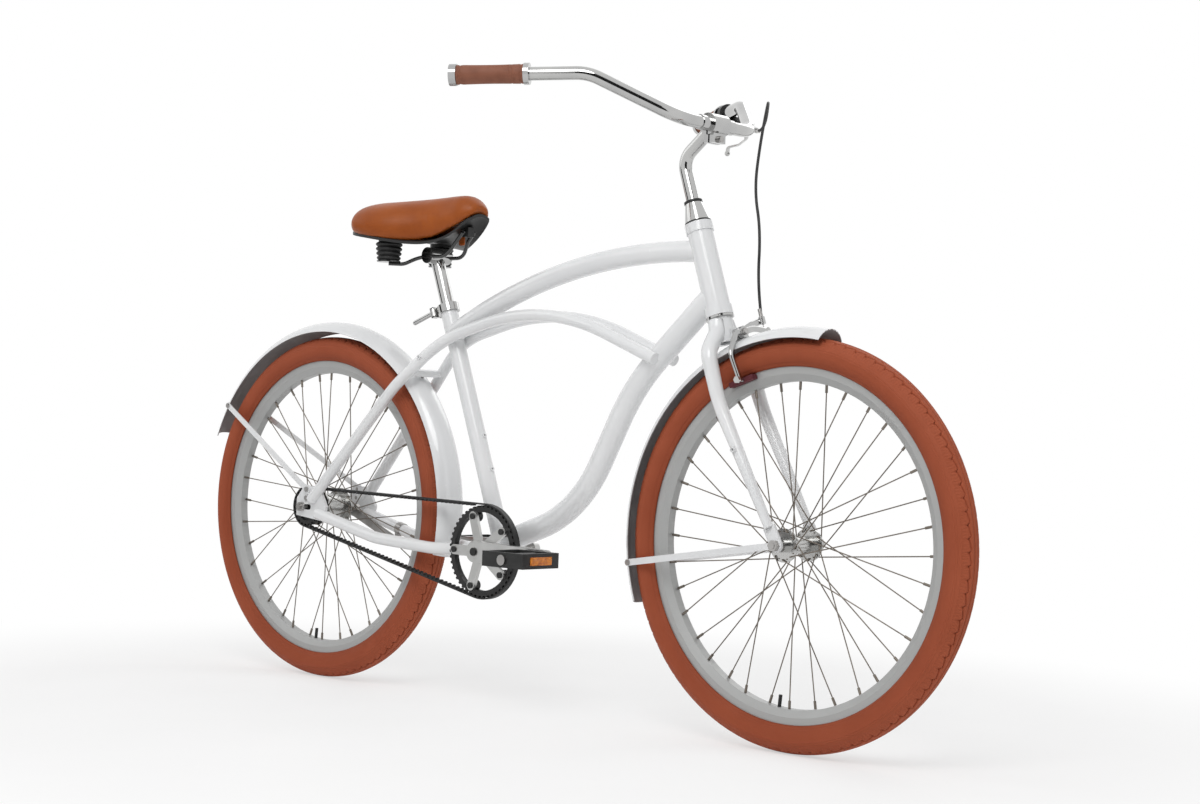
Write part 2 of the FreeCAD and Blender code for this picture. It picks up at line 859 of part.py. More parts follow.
def make_main_tubes():
    top_bore = swept("top_bore", top_tube_points, top_tube_bends, dim.top_tube_radius - dim.tube_wall)
    node(cut("top_tube", top_outer, top_bore, head_outer, seat_outer))
    down_bore = swept("down_bore", down_tube_points, down_tube_bends, dim.down_tube_radius - dim.tube_wall)
    node(cut("down_tube", down_outer, down_bore, head_outer, bracket_outer, seat_outer))


dropout_middle = dim.dropout_gap_half + dim.dropout_thickness / 2


def stay_points(side):
    """The cantilever tube: along the down tube's flank, past the seat tube and out to the dropout."""
    return [at(dim.stay_front_x, dim.stay_inner_y * side, dim.stay_front_z),
            at(dim.stay_crest_x, dim.stay_inner_y * side, dim.stay_crest_z),
            at(dim.stay_waist_x, dim.stay_inner_y * side, dim.stay_waist_z),
            at(dim.stay_hip_x, dim.stay_hip_y * side, dim.stay_hip_z),
            at(dim.stay_rear_x, dim.stay_rear_y * side, dim.stay_rear_z)]


def chainstay_points(side):
    return [at(dim.chainstay_rear_x, dropout_middle * side, dim.chainstay_rear_z),
            at(dim.chainstay_hip_x, dim.chainstay_hip_y * side, dim.chainstay_hip_z),
            at(dim.chainstay_waist_x, dim.chainstay_waist_y * side, dim.chainstay_waist_z),
            at(dim.chainstay_neck_x, dim.chainstay_neck_y * side, dim.chainstay_waist_z),
            bottom_bracket + AXIS_Y * float(dim.chainstay_neck_y * side)]


stay_bends = [dim.stay_crest_bend, dim.stay_waist_bend, dim.stay_hip_bend]
chainstay_bends = [dim.chainstay_hip_bend, dim.chainstay_waist_bend, dim.chainstay_neck_bend]
stay_outers = {side: swept(f"stay_outer_{side}", stay_points(sign), stay_bends, dim.stay_radius)
               for side, sign in SIDES.items()}
chainstay_outers = {side: swept(f"chainstay_outer_{side}", chainstay_points(sign), chainstay_bends,
                                dim.chainstay_radius)
                    for side, sign in SIDES.items()}

splice_bolts = [(dim.splice_low_x, dim.dropout_corner),
                (dim.splice_high_x, dim.dropout_top_z - dim.splice_high_drop)]


def dropout_spots(side):
    """Places of the dropout's bolts, on the plate's inner face."""
    inner = dim.dropout_gap_half if side > 0 else -(dim.dropout_gap_half + dim.dropout_thickness)
    return [rear_axle + point(x, inner, z) for x, z in splice_bolts]


def dropout_plate(name, sign):
    corner = dim.dropout_corner
    outline = [(-corner, -corner),
               (dim.dropout_front_x, -dim.dropout_front_drop),
               (dim.dropout_front_x + dim.dropout_front_lean, dim.dropout_front_rise),
               (dim.dropout_top_x + corner, dim.dropout_top_z),
               (dim.dropout_top_rear_x, dim.dropout_top_z),
               (-corner, corner)]
    low = dim.dropout_gap_half if sign > 0 else -(dim.dropout_gap_half + dim.dropout_thickness)
    return plate(name, Placement(rear_axle + AXIS_Y * float(low), Rotation()),
                 [outline], dim.dropout_thickness)


dropout_blanks = {side: dropout_plate(f"dropout_blank_{side}", sign) for side, sign in SIDES.items()}


bridge_spot = stay_points(1)[2] + (
    stay_points(1)[3] - stay_points(1)[2]).normalize() * float(dim.seat_bridge_place)


def make_seat_bridge():
    """The short cross tube between the seat stays."""
    blank = cylinder("seat_bridge_blank", point(bridge_spot.x, -bridge_spot.y, bridge_spot.z), AXIS_Y,
                     dim.bridge_radius, 2 * bridge_spot.y)
    return cut("seat_bridge", blank, stay_outers["right"], stay_outers["left"])


def make_chainstay_bridge():
    """The short cross tube between the chainstays."""
    start = at(dim.chainstay_bridge_x, -dim.chainstay_bridge_half, dim.chainstay_waist_z)
    blank = cylinder("chainstay_bridge_blank", start, AXIS_Y,
                     dim.bridge_radius, dim.chainstay_bridge_half * 2)
    return cut("chainstay_bridge", blank, chainstay_outers["right"], chainstay_outers["left"])


def make_stays():
    """Hollow stays on both sides, mitred to what they are welded to, with rack bosses."""
    stays = []
    chainstays = []
    for side, sign in SIDES.items():
        points = stay_points(sign)
        run = (points[3] - points[2]).normalize()
        base = points[2] + run * float(dim.rack_boss_place)
        outward = AXIS_Y * sign
        boss = cylinder(f"rack_boss_{side}", base, outward, dim.boss_radius,
                        dim.stay_radius + dim.boss_height)
        hole = cylinder(f"rack_hole_{side}", base, outward, dim.boss_hole_radius,
                        dim.stay_radius + dim.boss_height * 2)
        capped = points[0] + (points[1] - points[0]).normalize() * float(dim.stay_cap)
        bore = swept(f"stay_bore_{side}", [capped] + points[1:], stay_bends, dim.stay_radius - dim.tube_wall)
        blank = fuse(f"stay_blank_{side}", stay_outers[side], boss)
        stays.append(cut(f"stay_{side}", blank, bore, hole, down_outer, seat_outer, top_outer,
                         dropout_blanks[side]))
        bore = swept(f"chainstay_bore_{side}", chainstay_points(sign), chainstay_bends,
                     dim.chainstay_radius - dim.tube_wall)
        chainstays.append(cut(f"chainstay_{side}", chainstay_outers[side], bore, bracket_outer,
                              dropout_blanks[side], seat_outer, stay_outers[side]))
    node(group("cantilever_stays", *stays, make_seat_bridge()))
    node(group("chainstays", *chainstays, make_chainstay_bridge()))


def make_dropouts():
    """The rear dropout plates, with an axle slot and bolt holes."""
    plates = []
    for side, sign in SIDES.items():
        outer = dim.dropout_gap_half + dim.dropout_thickness
        low = float(dim.dropout_gap_half) if sign > 0 else -float(outer)
        start = rear_axle + AXIS_Y * low - AXIS_X * float(dim.dropout_slot_back)
        slot = link(f"dropout_slot_{side}", start, start + AXIS_X * float(dim.dropout_slot_length),
                    dim.dropout_slot_radius, dim.dropout_thickness)
        holes = [cylinder(f"dropout_hole_{side}_{index}", spot, AXIS_Y,
                          dim.dropout_bolt_radius + dim.cartridge_gap, dim.dropout_thickness)
                 for index, spot in enumerate(dropout_spots(sign))]
        plates.append(cut(f"dropout_{side}", dropout_blanks[side], slot, *holes))
    node(group("rear_dropouts", *plates))


make_head_tube()
make_bearings()
make_bracket_shell()
make_seat_tube()
make_main_tubes()
make_stays()
make_dropouts()


# Wheels

def make_tyre(name, axle):
    """A hollow casing, open towards the rim."""
    middle = dim.tyre_radius - dim.tyre_width / 2
    outer = torus(f"{name}_outer", axle, middle, dim.tyre_width / 2)
    hollow = torus(f"{name}_hollow", axle, middle, dim.tyre_width / 2 - dim.tyre_casing)
    opening = cylinder(f"{name}_opening", axle - AXIS_Y * float(dim.tyre_width / 2), AXIS_Y,
                       dim.rim_radius, dim.tyre_width)
    node(cut(name, outer, hollow, opening))


def make_inner_tube(name, axle):
    """The air tube, with a valve that passes through the rim."""
    middle = dim.tyre_radius - dim.tyre_width / 2
    section = dim.tyre_width / 2 - dim.tyre_casing - dim.inner_tube_gap
    inward = polar(dim.valve_angle, 1) * -1
    start = axle - inward * float(middle - section + dim.inner_tube_wall)
    valve = cylinder(f"{name}_valve", start, inward, dim.valve_radius, dim.valve_length)
    outer = fuse(f"{name}_outer", torus(f"{name}_skin", axle, middle, section), valve)
    node(cut(name, outer, torus(f"{name}_air", axle, middle, section - dim.inner_tube_wall)))


def make_rim(name, axle):
    """A hollow double-wall rim with brake tracks."""
    edge = dim.rim_radius
    half = dim.rim_width / 2
    floor = edge - dim.rim_well
    track = edge - dim.rim_track
    inner = edge - dim.rim_depth
    toe = dim.rim_inner_width / 2
    skin = dim.rim_wall
    outline = [(edge, -half), (edge, dim.rim_lip - half), (floor, dim.rim_lip - half),
               (floor, half - dim.rim_lip), (edge, half - dim.rim_lip), (edge, half),
               (track, half), (inner, toe), (inner, -toe), (track, -half)]
    cavity = [(floor - skin, skin - half), (floor - skin, half - skin), (track, half - skin),
              (inner + skin, toe - skin / 2), (inner + skin, skin / 2 - toe), (track, skin - half)]
    blank = turned(f"{name}_blank", axle, [outline, cavity])
    hole = cylinder(f"{name}_valve_hole", axle, polar(dim.valve_angle, 1),
                    dim.valve_radius + dim.fit_gap, dim.rim_radius)
    node(cut(name, blank, hole))


def flange_angles(sign):
    """Angle and lacing direction of each spoke hole in a flange."""
    count = int(float(dim.spokes_per_flange))
    step = 360 / count
    first = 0 if sign > 0 else step / 2
    return [(first + step * index, 1 if index % 2 else -1) for index in range(count)]


def turned_copy(shape, degrees):
    """A copy of a shape turned about the Y axis through the origin, from +X towards +Z."""
    copy = shape.copy()
    copy.rotate(Vector(), AXIS_Y, -degrees)
    return copy


def spoke_points(flange_offset, hole_circle, sign, lacing):
    """Spoke head, elbow, start of the nipple and rim end, for a hub hole at the first angle."""
    lie = (dim.flange_thickness / 2 + dim.spoke_radius + dim.spoke_rest) * lacing
    head = (dim.flange_thickness / 2 + dim.spoke_radius) * -lacing
    hub = polar(0, hole_circle)
    sweep = 360 / float(dim.spokes_per_flange) * float(dim.spoke_crossings) * lacing
    rim = polar(sweep, dim.rim_radius - dim.rim_depth - dim.fit_gap * 2)
    rim += AXIS_Y * float(dim.spoke_rim_offset * sign)
    elbow = hub + AXIS_Y * float((flange_offset + lie) * sign)
    run = (rim - elbow).normalize()
    return [hub + AXIS_Y * float((flange_offset + head) * sign), elbow,
            rim - run * float(dim.nipple_length), rim]


def make_spokes(name, axle, flange_offset, hole_circle):
    """Crossed spokes with bent heads in the hub's flanges, and their nipples at the rim."""
    patterns = {}
    for side, sign in SIDES.items():
        for lacing in (-1, 1):
            label = f"{name}_{side}_{'leading' if lacing > 0 else 'trailing'}"
            head, elbow, end, rim = spoke_points(flange_offset, hole_circle, sign, lacing)
            spoke = swept(label, [head, elbow, end], [dim.spoke_elbow], dim.spoke_radius)
            nipple = cylinder(f"{label}_nipple", end, rim - end, dim.nipple_radius, dim.nipple_length)
            patterns[sign, lacing] = (spoke, nipple)
    doc.recompute()
    solids = []
    for sign in SIDES.values():
        for degrees, lacing in flange_angles(sign):
            solids += [turned_copy(piece.Shape, degrees) for piece in patterns[sign, lacing]]
    node(shaped(name, Part.makeCompound(solids), Placement(axle, Rotation())))


def make_hub(name, axle, sizes):
    """A turned hub shell with drilled flanges."""
    bore = sizes.axle_radius + dim.running_gap
    outer = sizes.flange_offset + dim.flange_thickness / 2
    inner = sizes.flange_offset - dim.flange_thickness / 2
    outline = [(bore, -sizes.right), (sizes.end_radius, -sizes.right), (sizes.end_radius, -outer),
               (sizes.flange_radius, -outer), (sizes.flange_radius, -inner), (sizes.barrel_radius, -inner),
               (sizes.barrel_radius, inner), (sizes.flange_radius, inner), (sizes.flange_radius, outer),
               (sizes.end_radius, outer), (sizes.end_radius, sizes.left), (bore, sizes.left)]
    blank = turned(f"{name}_blank", axle, [outline])
    drills = []
    for sign in SIDES.values():
        for degrees, _ in flange_angles(sign):
            hole = Part.makeCylinder(float(dim.spoke_radius + dim.cartridge_gap),
                                     float(dim.flange_thickness * 2),
                                     polar(0, sizes.hole_circle) + AXIS_Y * float(inner * sign),
                                     AXIS_Y * sign)
            drills.append(turned_copy(hole, degrees))
    tool = shaped(f"{name}_drills", Part.makeCompound(drills), Placement(axle, Rotation()))
    node(cut(name, blank, tool))


front_hub_sizes = SimpleNamespace(
    axle_radius=dim.front_axle_radius, flange_offset=dim.front_flange_offset,
    flange_radius=dim.front_flange_radius, barrel_radius=dim.front_hub_radius,
    end_radius=dim.hub_end_radius, right=dim.front_hub_half, left=dim.front_hub_half,
    hole_circle=dim.front_flange_radius - dim.flange_rim)
rear_hub_sizes = SimpleNamespace(
    axle_radius=dim.rear_axle_radius, flange_offset=dim.rear_flange_offset,
    flange_radius=dim.rear_flange_radius, barrel_radius=dim.rear_hub_radius,
    end_radius=dim.rear_hub_end_radius, right=dim.rear_hub_right, left=dim.rear_hub_left,
    hole_circle=dim.rear_flange_radius - dim.flange_rim)


def make_axle(name, axle, radius, half, cones, nut_seat):
    """A fixed axle with bearing cones, and a hexagon nut at each end."""
    shaft = cylinder(f"{name}_shaft", axle - AXIS_Y * float(half), AXIS_Y, radius, half * 2)
    collars = []
    for side, (inner, outer) in cones.items():
        sign = SIDES[side]
        collars.append(cylinder(f"{name}_cone_{side}", axle + AXIS_Y * (sign * float(inner)),
                                AXIS_Y * sign, dim.axle_cone_radius, outer - inner))
    nuts = []
    for side, sign in SIDES.items():
        seat = axle + AXIS_Y * (sign * float(nut_seat))
        blank = hexagon(f"{name}_nut_blank_{side}", seat, AXIS_Y * sign, dim.nut_radius, dim.nut_height)
        hole = cylinder(f"{name}_nut_hole_{side}", seat, AXIS_Y * sign,
                        radius + dim.cartridge_gap, dim.nut_height)
        nuts.append(cut(f"{name}_nut_{side}", blank, hole))
    node(group(name, fuse(f"{name}_with_cones", shaft, *collars), *nuts))


def make_wheels():
    for end, axle, sizes in (("front", front_axle, front_hub_sizes), ("rear", rear_axle, rear_hub_sizes)):
        make_tyre(f"{end}_tyre", axle)
        make_inner_tube(f"{end}_inner_tube", axle)
        make_rim(f"{end}_rim", axle)
        make_spokes(f"{end}_spokes", axle, sizes.flange_offset, sizes.hole_circle)
        make_hub(f"{end}_hub", axle, sizes)
    front_cone = (dim.front_hub_half + dim.fit_gap, dim.fork_gap_half)
    make_axle("front_axle", front_axle, dim.front_axle_radius, dim.front_axle_half,
              {"right": front_cone, "left": front_cone},
              dim.fork_gap_half + dim.fork_plate_thickness + dim.stay_strip_thickness)
    make_axle("rear_axle", rear_axle, dim.rear_axle_radius, dim.rear_axle_half,
              {"right": (dim.belt_line + dim.belt_width / 2 + dim.fit_gap, dim.dropout_gap_half),
               "left": (dim.coaster_inner + dim.coaster_thickness, dim.dropout_gap_half)},
              dim.dropout_gap_half + dim.dropout_thickness)


# Fork and headset

crown_top = dim.head_tube_start - dim.fit_gap - dim.race_height
head_top = dim.head_tube_start + dim.head_tube_length + dim.fit_gap
cone_start = head_top + dim.seal_height
cap_start = cone_start + dim.cone_height
crown_outer = cylinder("crown_outer", on_head(dim.crown_start), head_up,
                       dim.crown_radius, crown_top - dim.crown_start)
brake_pivot = on_head(dim.brake_pivot_height, dim.brake_pivot_forward)


def make_steerer():
    """The steerer tube with the crown that the blades are welded to."""
    shaft = cylinder("steerer_shaft", on_head(dim.crown_start), head_up,
                     dim.steerer_radius, dim.steerer_top - dim.crown_start)
    bore = cylinder("steerer_bore", on_head(dim.crown_start), head_up,
                    dim.quill_radius + dim.cartridge_gap, dim.steerer_top - dim.crown_start)
    bolt_hole = cylinder("crown_bolt_hole", on_head(dim.brake_pivot_height, dim.steerer_radius),
                         head_forward, dim.brake_bolt_radius + dim.cartridge_gap, dim.crown_radius)
    node(cut("fork_steerer", fuse("steerer_blank", shaft, crown_outer), bore, bolt_hole))


def ring(name, start, radius, bore, height):
    """A ring round the steering axis."""
    outer = cylinder(f"{name}_outer", on_head(start), head_up, radius, height)
    inner = cylinder(f"{name}_inner", on_head(start), head_up, bore, height)
    return cut(name, outer, inner)


def make_headset():
    """The crown race and the conical top race, with the dark seals above and below the cone."""
    on_steerer = dim.steerer_radius + dim.cartridge_gap
    race = ring("crown_race", crown_top, dim.race_radius, on_steerer, dim.race_height)
    blank = cone("top_race_blank", on_head(cone_start), head_up,
                 dim.cone_radius, dim.cone_top_radius, dim.cone_height)
    bore = cylinder("top_race_bore", on_head(cone_start), head_up, on_steerer, dim.cone_height)
    low_seal = ring("low_seal", head_top, dim.seal_radius, on_steerer, dim.seal_height)
    cap = ring("top_seal", cap_start, dim.cap_radius, dim.quill_radius + dim.cartridge_gap, dim.cap_height)
    node(group("headset_races", race, cut("top_race", blank, bore), low_seal, cap))


def blade_points(sign):
    """A fork blade: out from the crown over the shoulder, down, and forward to the axle."""
    knee = on_head(dim.blade_knee, 0, dim.blade_knee_y * sign)
    axle = front_axle + AXIS_Y * float(dim.blade_end_y * sign)
    return [on_head(dim.blade_root, 0, dim.blade_root_y * sign),
            on_head(dim.blade_neck, 0, dim.blade_neck_y * sign),
            on_head(dim.blade_shoulder, 0, dim.blade_shoulder_y * sign),
            knee,
            axle + (knee - axle).normalize() * float(dim.blade_end)]


def make_blades():
    """Tapered hollow blades, each with its dropout plate and a threaded boss."""
    bends = [dim.blade_neck_bend, dim.blade_shoulder_bend, dim.blade_knee_bend]
    blades = []
    for side, sign in SIDES.items():
        points = blade_points(sign)
        outer = swept(f"blade_outer_{side}", points, bends, dim.blade_top_radius, dim.blade_end_radius)
        bore = swept(f"blade_bore_{side}", points, bends,
                     dim.blade_top_radius - dim.blade_wall, dim.blade_end_radius - dim.blade_wall)
        low = float(dim.fork_gap_half) if sign > 0 else -float(dim.fork_gap_half + dim.fork_plate_thickness)
        top = point(points[-1].x, low, points[-1].z)
        tip = front_axle + AXIS_Y * low
        drop_plate = link(f"fork_plate_{side}", top, tip, dim.fork_plate_radius, dim.fork_plate_thickness)
        base = points[3] + (points[4] - points[3]).normalize() * float(dim.fork_boss_place)
        boss = cylinder(f"fork_boss_{side}", base, AXIS_Y * sign, dim.boss_radius, dim.fork_boss_reach)
        hole = cylinder(f"fork_hole_{side}", base, AXIS_Y * sign, dim.boss_hole_radius,
                        dim.fork_boss_reach + dim.boss_height)
        blank = fuse(f"blade_blank_{side}", cut(f"blade_tube_{side}", outer, bore), drop_plate,
                     cut(f"fork_boss_trim_{side}", boss, bore))
        axle_hole = cylinder(f"fork_axle_hole_{side}", tip, AXIS_Y,
                             dim.front_axle_radius + dim.cartridge_gap, dim.fork_plate_thickness)
        blades.append(cut(f"blade_{side}", blank, crown_outer, axle_hole, hole))
    node(group("fork_blades", *blades))


# Stem, handlebar and grips

bar_centre = at(dim.bar_x, 0, dim.bar_z)


def make_stem():
    """The quill stem: a bent bar, a split clamp for the handlebar and a lug for the pinch bolt."""
    quill = swept("quill", [on_head(dim.quill_start), on_head(dim.stem_bend_height), bar_centre],
                  [dim.stem_bend], dim.quill_radius)
    clamp = cylinder("stem_clamp", bar_centre - AXIS_Y * float(dim.stem_clamp_half), AXIS_Y,
                     dim.stem_clamp_radius, dim.stem_clamp_half * 2)
    frame = Placement(bar_centre, Rotation())
    half = dim.stem_lug_half
    lug = block("stem_lug", frame, (-dim.stem_lug_width / 2, -half, -dim.stem_lug_depth),
                dim.stem_lug_width, half * 2, dim.stem_lug_depth)
    bore = cylinder("stem_bore", bar_centre - AXIS_Y * float(dim.stem_clamp_half), AXIS_Y,
                    dim.bar_clamp_radius + dim.cartridge_gap, dim.stem_clamp_half * 2)
    slit = block("stem_slit", frame, (-dim.stem_slit / 2, -dim.stem_clamp_half, -dim.stem_lug_depth),
                 dim.stem_slit, dim.stem_clamp_half * 2, dim.stem_lug_depth)
    hole = cylinder("stem_bolt_hole", stem_bolt_start(), AXIS_X,
                    dim.stem_bolt_radius + dim.cartridge_gap, dim.stem_lug_width)
    node(cut("stem", fuse("stem_blank", quill, clamp, lug), bore, slit, hole))


def stem_bolt_start():
    drop = (dim.stem_clamp_radius + dim.stem_lug_depth) / 2
    return bar_centre - AXIS_X * float(dim.stem_lug_width / 2) - AXIS_Z * float(drop)


def bar_points(sign):
    """Half of the bar, from its bend beside the stem to its end."""
    return [bar_centre + AXIS_Y * float(dim.bar_bend_y * sign),
            at(dim.bar_shoulder_x, dim.bar_shoulder_y * sign, dim.bar_shoulder_z),
            at(dim.bar_end_x, dim.bar_end_y * sign, dim.bar_end_z)]


def make_bar():
    """The swept-back handlebar, thicker where the stem holds it."""
    points = bar_points(-1)[::-1] + bar_points(1)
    bends = [dim.bar_shoulder_radius, dim.bar_bend_radius, dim.bar_bend_radius, dim.bar_shoulder_radius]
    outer = swept("bar_outer", points, bends, dim.bar_radius)
    bore = swept("bar_bore", points, bends, dim.bar_radius - dim.bar_wall)
    sleeve = cylinder("bar_sleeve", bar_centre - AXIS_Y * float(dim.bar_clamp_half), AXIS_Y,
                      dim.bar_clamp_radius, dim.bar_clamp_half * 2)
    node(cut("handlebar", fuse("bar_blank", outer, sleeve), bore))


def make_grips():
    """Rubber grips, each between two lock rings; the outer ring closes the bar's end."""
    rings = []
    sleeves = []
    for side, sign in SIDES.items():
        _, shoulder, end = bar_points(sign)
        inward = (shoulder - end).normalize()
        reach = dim.grip_length + dim.lock_ring_width * 2
        bore = cylinder(f"grip_bore_{side}", end, inward, dim.bar_radius + dim.cartridge_gap, reach)
        start = end + inward * float(dim.lock_ring_width)
        sleeve = cylinder(f"grip_sleeve_{side}", start, inward, dim.grip_radius, dim.grip_length)
        sleeves.append(cut(f"grip_{side}", sleeve, bore))
        cap = cylinder(f"end_cap_{side}", end - inward * float(dim.end_cap_height), inward,
                       dim.lock_ring_radius, dim.end_cap_height + dim.lock_ring_width)
        rings.append(cut(f"outer_ring_{side}", cap, bore))
        inner = cylinder(f"inner_ring_blank_{side}", start + inward * float(dim.grip_length), inward,
                         dim.lock_ring_radius, dim.lock_ring_width)
        rings.append(cut(f"inner_ring_{side}", inner, bore))
    node(group("grips", *sleeves))
    node(group("grip_lock_rings", *rings))


make_wheels()
make_steerer()
make_headset()
make_blades()
make_stem()
make_bar()
make_grips()


# Front brake

_, lever_shoulder, lever_bar_end = bar_points(1)
lever_ahead = (lever_shoulder - lever_bar_end).normalize()
lever_level_down = (lever_ahead * lever_ahead.z - AXIS_Z).normalize()
lever_level_out = lever_ahead.cross(lever_level_down)
lever_turn = math.radians(float(dim.lever_roll))
lever_down = lever_level_down * math.cos(lever_turn) + lever_level_out * math.sin(lever_turn)
lever_frame = framed(lever_shoulder - lever_ahead * float(dim.lever_clamp_place),
                     lever_ahead, lever_down * -1)
lever_side = lever_ahead.cross(lever_down)


def on_lever(ahead, drop, side=0):
    """A place on the lever bracket: ahead along the bar, below the bar and to the side."""
    return lever_frame.multVec(point(ahead, side, -drop))


adjuster_start = on_lever(dim.lever_pivot_forward + dim.adjuster_ahead,
                          dim.lever_pivot_drop + dim.adjuster_drop)
adjuster_turn = math.radians(float(dim.adjuster_tilt))
adjuster_run = lever_ahead * math.cos(adjuster_turn) + lever_down * math.sin(adjuster_turn)


def make_lever_body():
    """The bracket that clamps to the bar, with a slot for the lever and the cable's adjuster."""
    pivot = dim.lever_pivot_forward
    drop = dim.lever_pivot_drop
    boss = dim.lever_pivot_boss
    half = dim.lever_clamp_width / 2
    outline = [(-half, -dim.bar_radius), (-half, dim.lever_heel_rise - drop), (half, -drop),
               (pivot + dim.lever_chin_ahead, -(drop + dim.lever_chin_drop)),
               (pivot + dim.lever_nose_ahead, -drop),
               (pivot - boss, dim.lever_brow_rise - drop), (half, -dim.bar_radius)]
    aside = Placement(AXIS_Y * -float(dim.lever_body_width / 2), Rotation())
    bracket = plate("lever_bracket", lever_frame.multiply(aside), [outline], dim.lever_body_width)
    clamp = cylinder("lever_clamp", on_lever(-half, 0), lever_ahead,
                     dim.lever_clamp_radius, dim.lever_clamp_width)
    bore = cylinder("lever_clamp_bore", on_lever(-half, 0), lever_ahead,
                    dim.bar_radius + dim.cartridge_gap, dim.lever_clamp_width)
    gap = dim.lever_blade_width + dim.fit_gap * 2
    slot = block("lever_slot", lever_frame,
                 (pivot - dim.lever_slot_back, -(gap / 2), -(drop + dim.lever_slot_drop)),
                 dim.lever_slot_length, gap, dim.lever_slot_height)
    pin = cylinder("lever_pin", on_lever(pivot, drop, -dim.lever_body_width / 2), lever_side,
                   dim.lever_pin_radius, dim.lever_body_width)
    adjuster = cylinder("cable_adjuster", adjuster_start, adjuster_run,
                        dim.adjuster_radius, dim.adjuster_length)
    body = cut("lever_slotted", fuse("lever_blank", bracket, clamp), bore, slot, adjuster)
    node(group("brake_lever_body", fuse("lever_housing", body, pin), adjuster))


def make_lever():
    """The hooked lever blade, which turns on the bracket's pin."""
    pivot = dim.lever_pivot_forward
    drop = dim.lever_pivot_drop
    low = dim.lever_blade_drop
    points = [on_lever(pivot, drop),
              on_lever(pivot - dim.lever_hook_start, low - dim.lever_blade_depth),
              on_lever(-dim.lever_hook, low),
              on_lever(-dim.lever_blade_reach, low - dim.lever_blade_depth),
              on_lever(-(dim.lever_blade_reach + dim.lever_hook), low + dim.lever_tip_drop)]
    bends = [dim.lever_hook, dim.lever_reach_bend, dim.lever_tip_bend]
    blade = flat_swept("lever_blade", points, bends, lever_side,
                       dim.lever_blade_width / 2, dim.lever_blade_depth / 2)
    half = dim.lever_blade_width / 2
    hub = cylinder("lever_hub", on_lever(pivot, drop, -half), lever_side,
                   dim.lever_pivot_boss, dim.lever_blade_width)
    bore = cylinder("lever_bore", on_lever(pivot, drop, -half), lever_side,
                    dim.lever_pin_radius + dim.running_gap, dim.lever_blade_width)
    tip = doc.addObject("Part::Sphere", "lever_tip")
    bind(tip, Radius=dim.lever_tip_radius)
    tip.Placement = Placement(points[-1], Rotation())
    node(cut("brake_lever", fuse("lever_solid", blade, hub, tip), bore))


brake_frame = framed(brake_pivot, AXIS_Y, head_up)


def on_brake(aside, rise, layer=0):
    """A place on the caliper: to the left, up the steering axis and towards the rear."""
    return brake_frame.multVec(point(aside, layer, rise))


def arm_bar(name, places, bends, layer):
    """A flattened bar in one layer of the caliper."""
    points = [on_brake(aside, rise, layer) for aside, rise in places]
    across = head_forward.cross((points[1] - points[0]).normalize())
    return flat_swept(name, points, bends, across, dim.brake_arm_radius, dim.brake_arm_depth)


def brake_arm(name, sign, layer, upper, upper_bends, end):
    """A caliper arm with its hub, its cable end and the bolt that holds the pad."""
    foot = dim.brake_arm_width - dim.brake_arm_lean
    shoulder = dim.brake_arm_neck
    reach = dim.brake_reach
    lower = arm_bar(f"{name}_lower",
                    [(foot * sign, -(reach + dim.brake_arm_radius / 2)),
                     (dim.brake_arm_width * sign, -dim.brake_arm_shoulder),
                     (shoulder * sign, 0),
                     (0, 0)],
                    [dim.brake_arm_low_bend, dim.brake_arm_high_bend], layer)
    raised = arm_bar(f"{name}_upper", upper, upper_bends, layer)
    hub = cylinder(f"{name}_hub", on_brake(0, 0, layer + dim.brake_arm_depth), head_forward,
                   dim.brake_hub_radius, dim.brake_arm_depth * 2)
    bore = cylinder(f"{name}_bore", on_brake(0, 0, layer + dim.brake_arm_depth), head_forward,
                    dim.brake_bolt_radius + dim.running_gap, dim.brake_arm_depth * 2)
    pad_back = dim.rim_width / 2 + dim.brake_pad_gap + dim.brake_pad_depth
    bolt = cylinder(f"{name}_pad_bolt", on_brake(pad_back * sign, -reach, layer), AXIS_Y * sign,
                    dim.pad_bolt_radius, dim.pad_bolt_length)
    nut = hexagon(f"{name}_pad_nut", on_brake((pad_back + dim.pad_bolt_length - dim.pad_nut_height) * sign,
                                              -reach, layer), AXIS_Y * sign,
                  dim.pad_nut_radius, dim.pad_nut_height)
    wire_hole = cylinder(f"{name}_wire_hole", on_brake(dim.brake_cable_y, -dim.brake_stop_rise), head_up,
                         dim.wire_radius + dim.wire_clearance, dim.wire_hole_length)
    node(cut(name, fuse(f"{name}_solid", lower, raised, hub, bolt, nut, end), bore, wire_hole))


def make_brake_arms():
    """The right arm crosses over to the wire's anchor; the left arm carries the stop of the cable."""
    anchor_depth = dim.brake_arm_layer + dim.brake_arm_depth
    anchor = cylinder("wire_anchor", on_brake(dim.brake_cable_y, dim.brake_anchor_rise, anchor_depth / 2),
                      head_forward, dim.brake_arm_radius, dim.wire_anchor_length)
    brake_arm("caliper_arm_right", -1, -dim.brake_arm_layer,
              [(0, 0),
               (dim.brake_cable_y / 2, dim.brake_anchor_crest),
               (dim.brake_cable_y, dim.brake_anchor_rise)],
              [dim.brake_cable_y], anchor)
    stop_foot = on_brake(dim.brake_cable_y, dim.brake_stop_rise - dim.brake_stop_height / 2)
    stop = cylinder("cable_stop", stop_foot, head_up, dim.brake_arm_radius, dim.brake_stop_height)
    brake_arm("caliper_arm_left", 1, dim.brake_arm_layer,
              [(0, 0),
               (dim.brake_stop_knee_y, dim.brake_stop_knee_rise),
               (dim.brake_cable_y, dim.brake_stop_rise)],
              [dim.brake_cable_y / 2], stop)


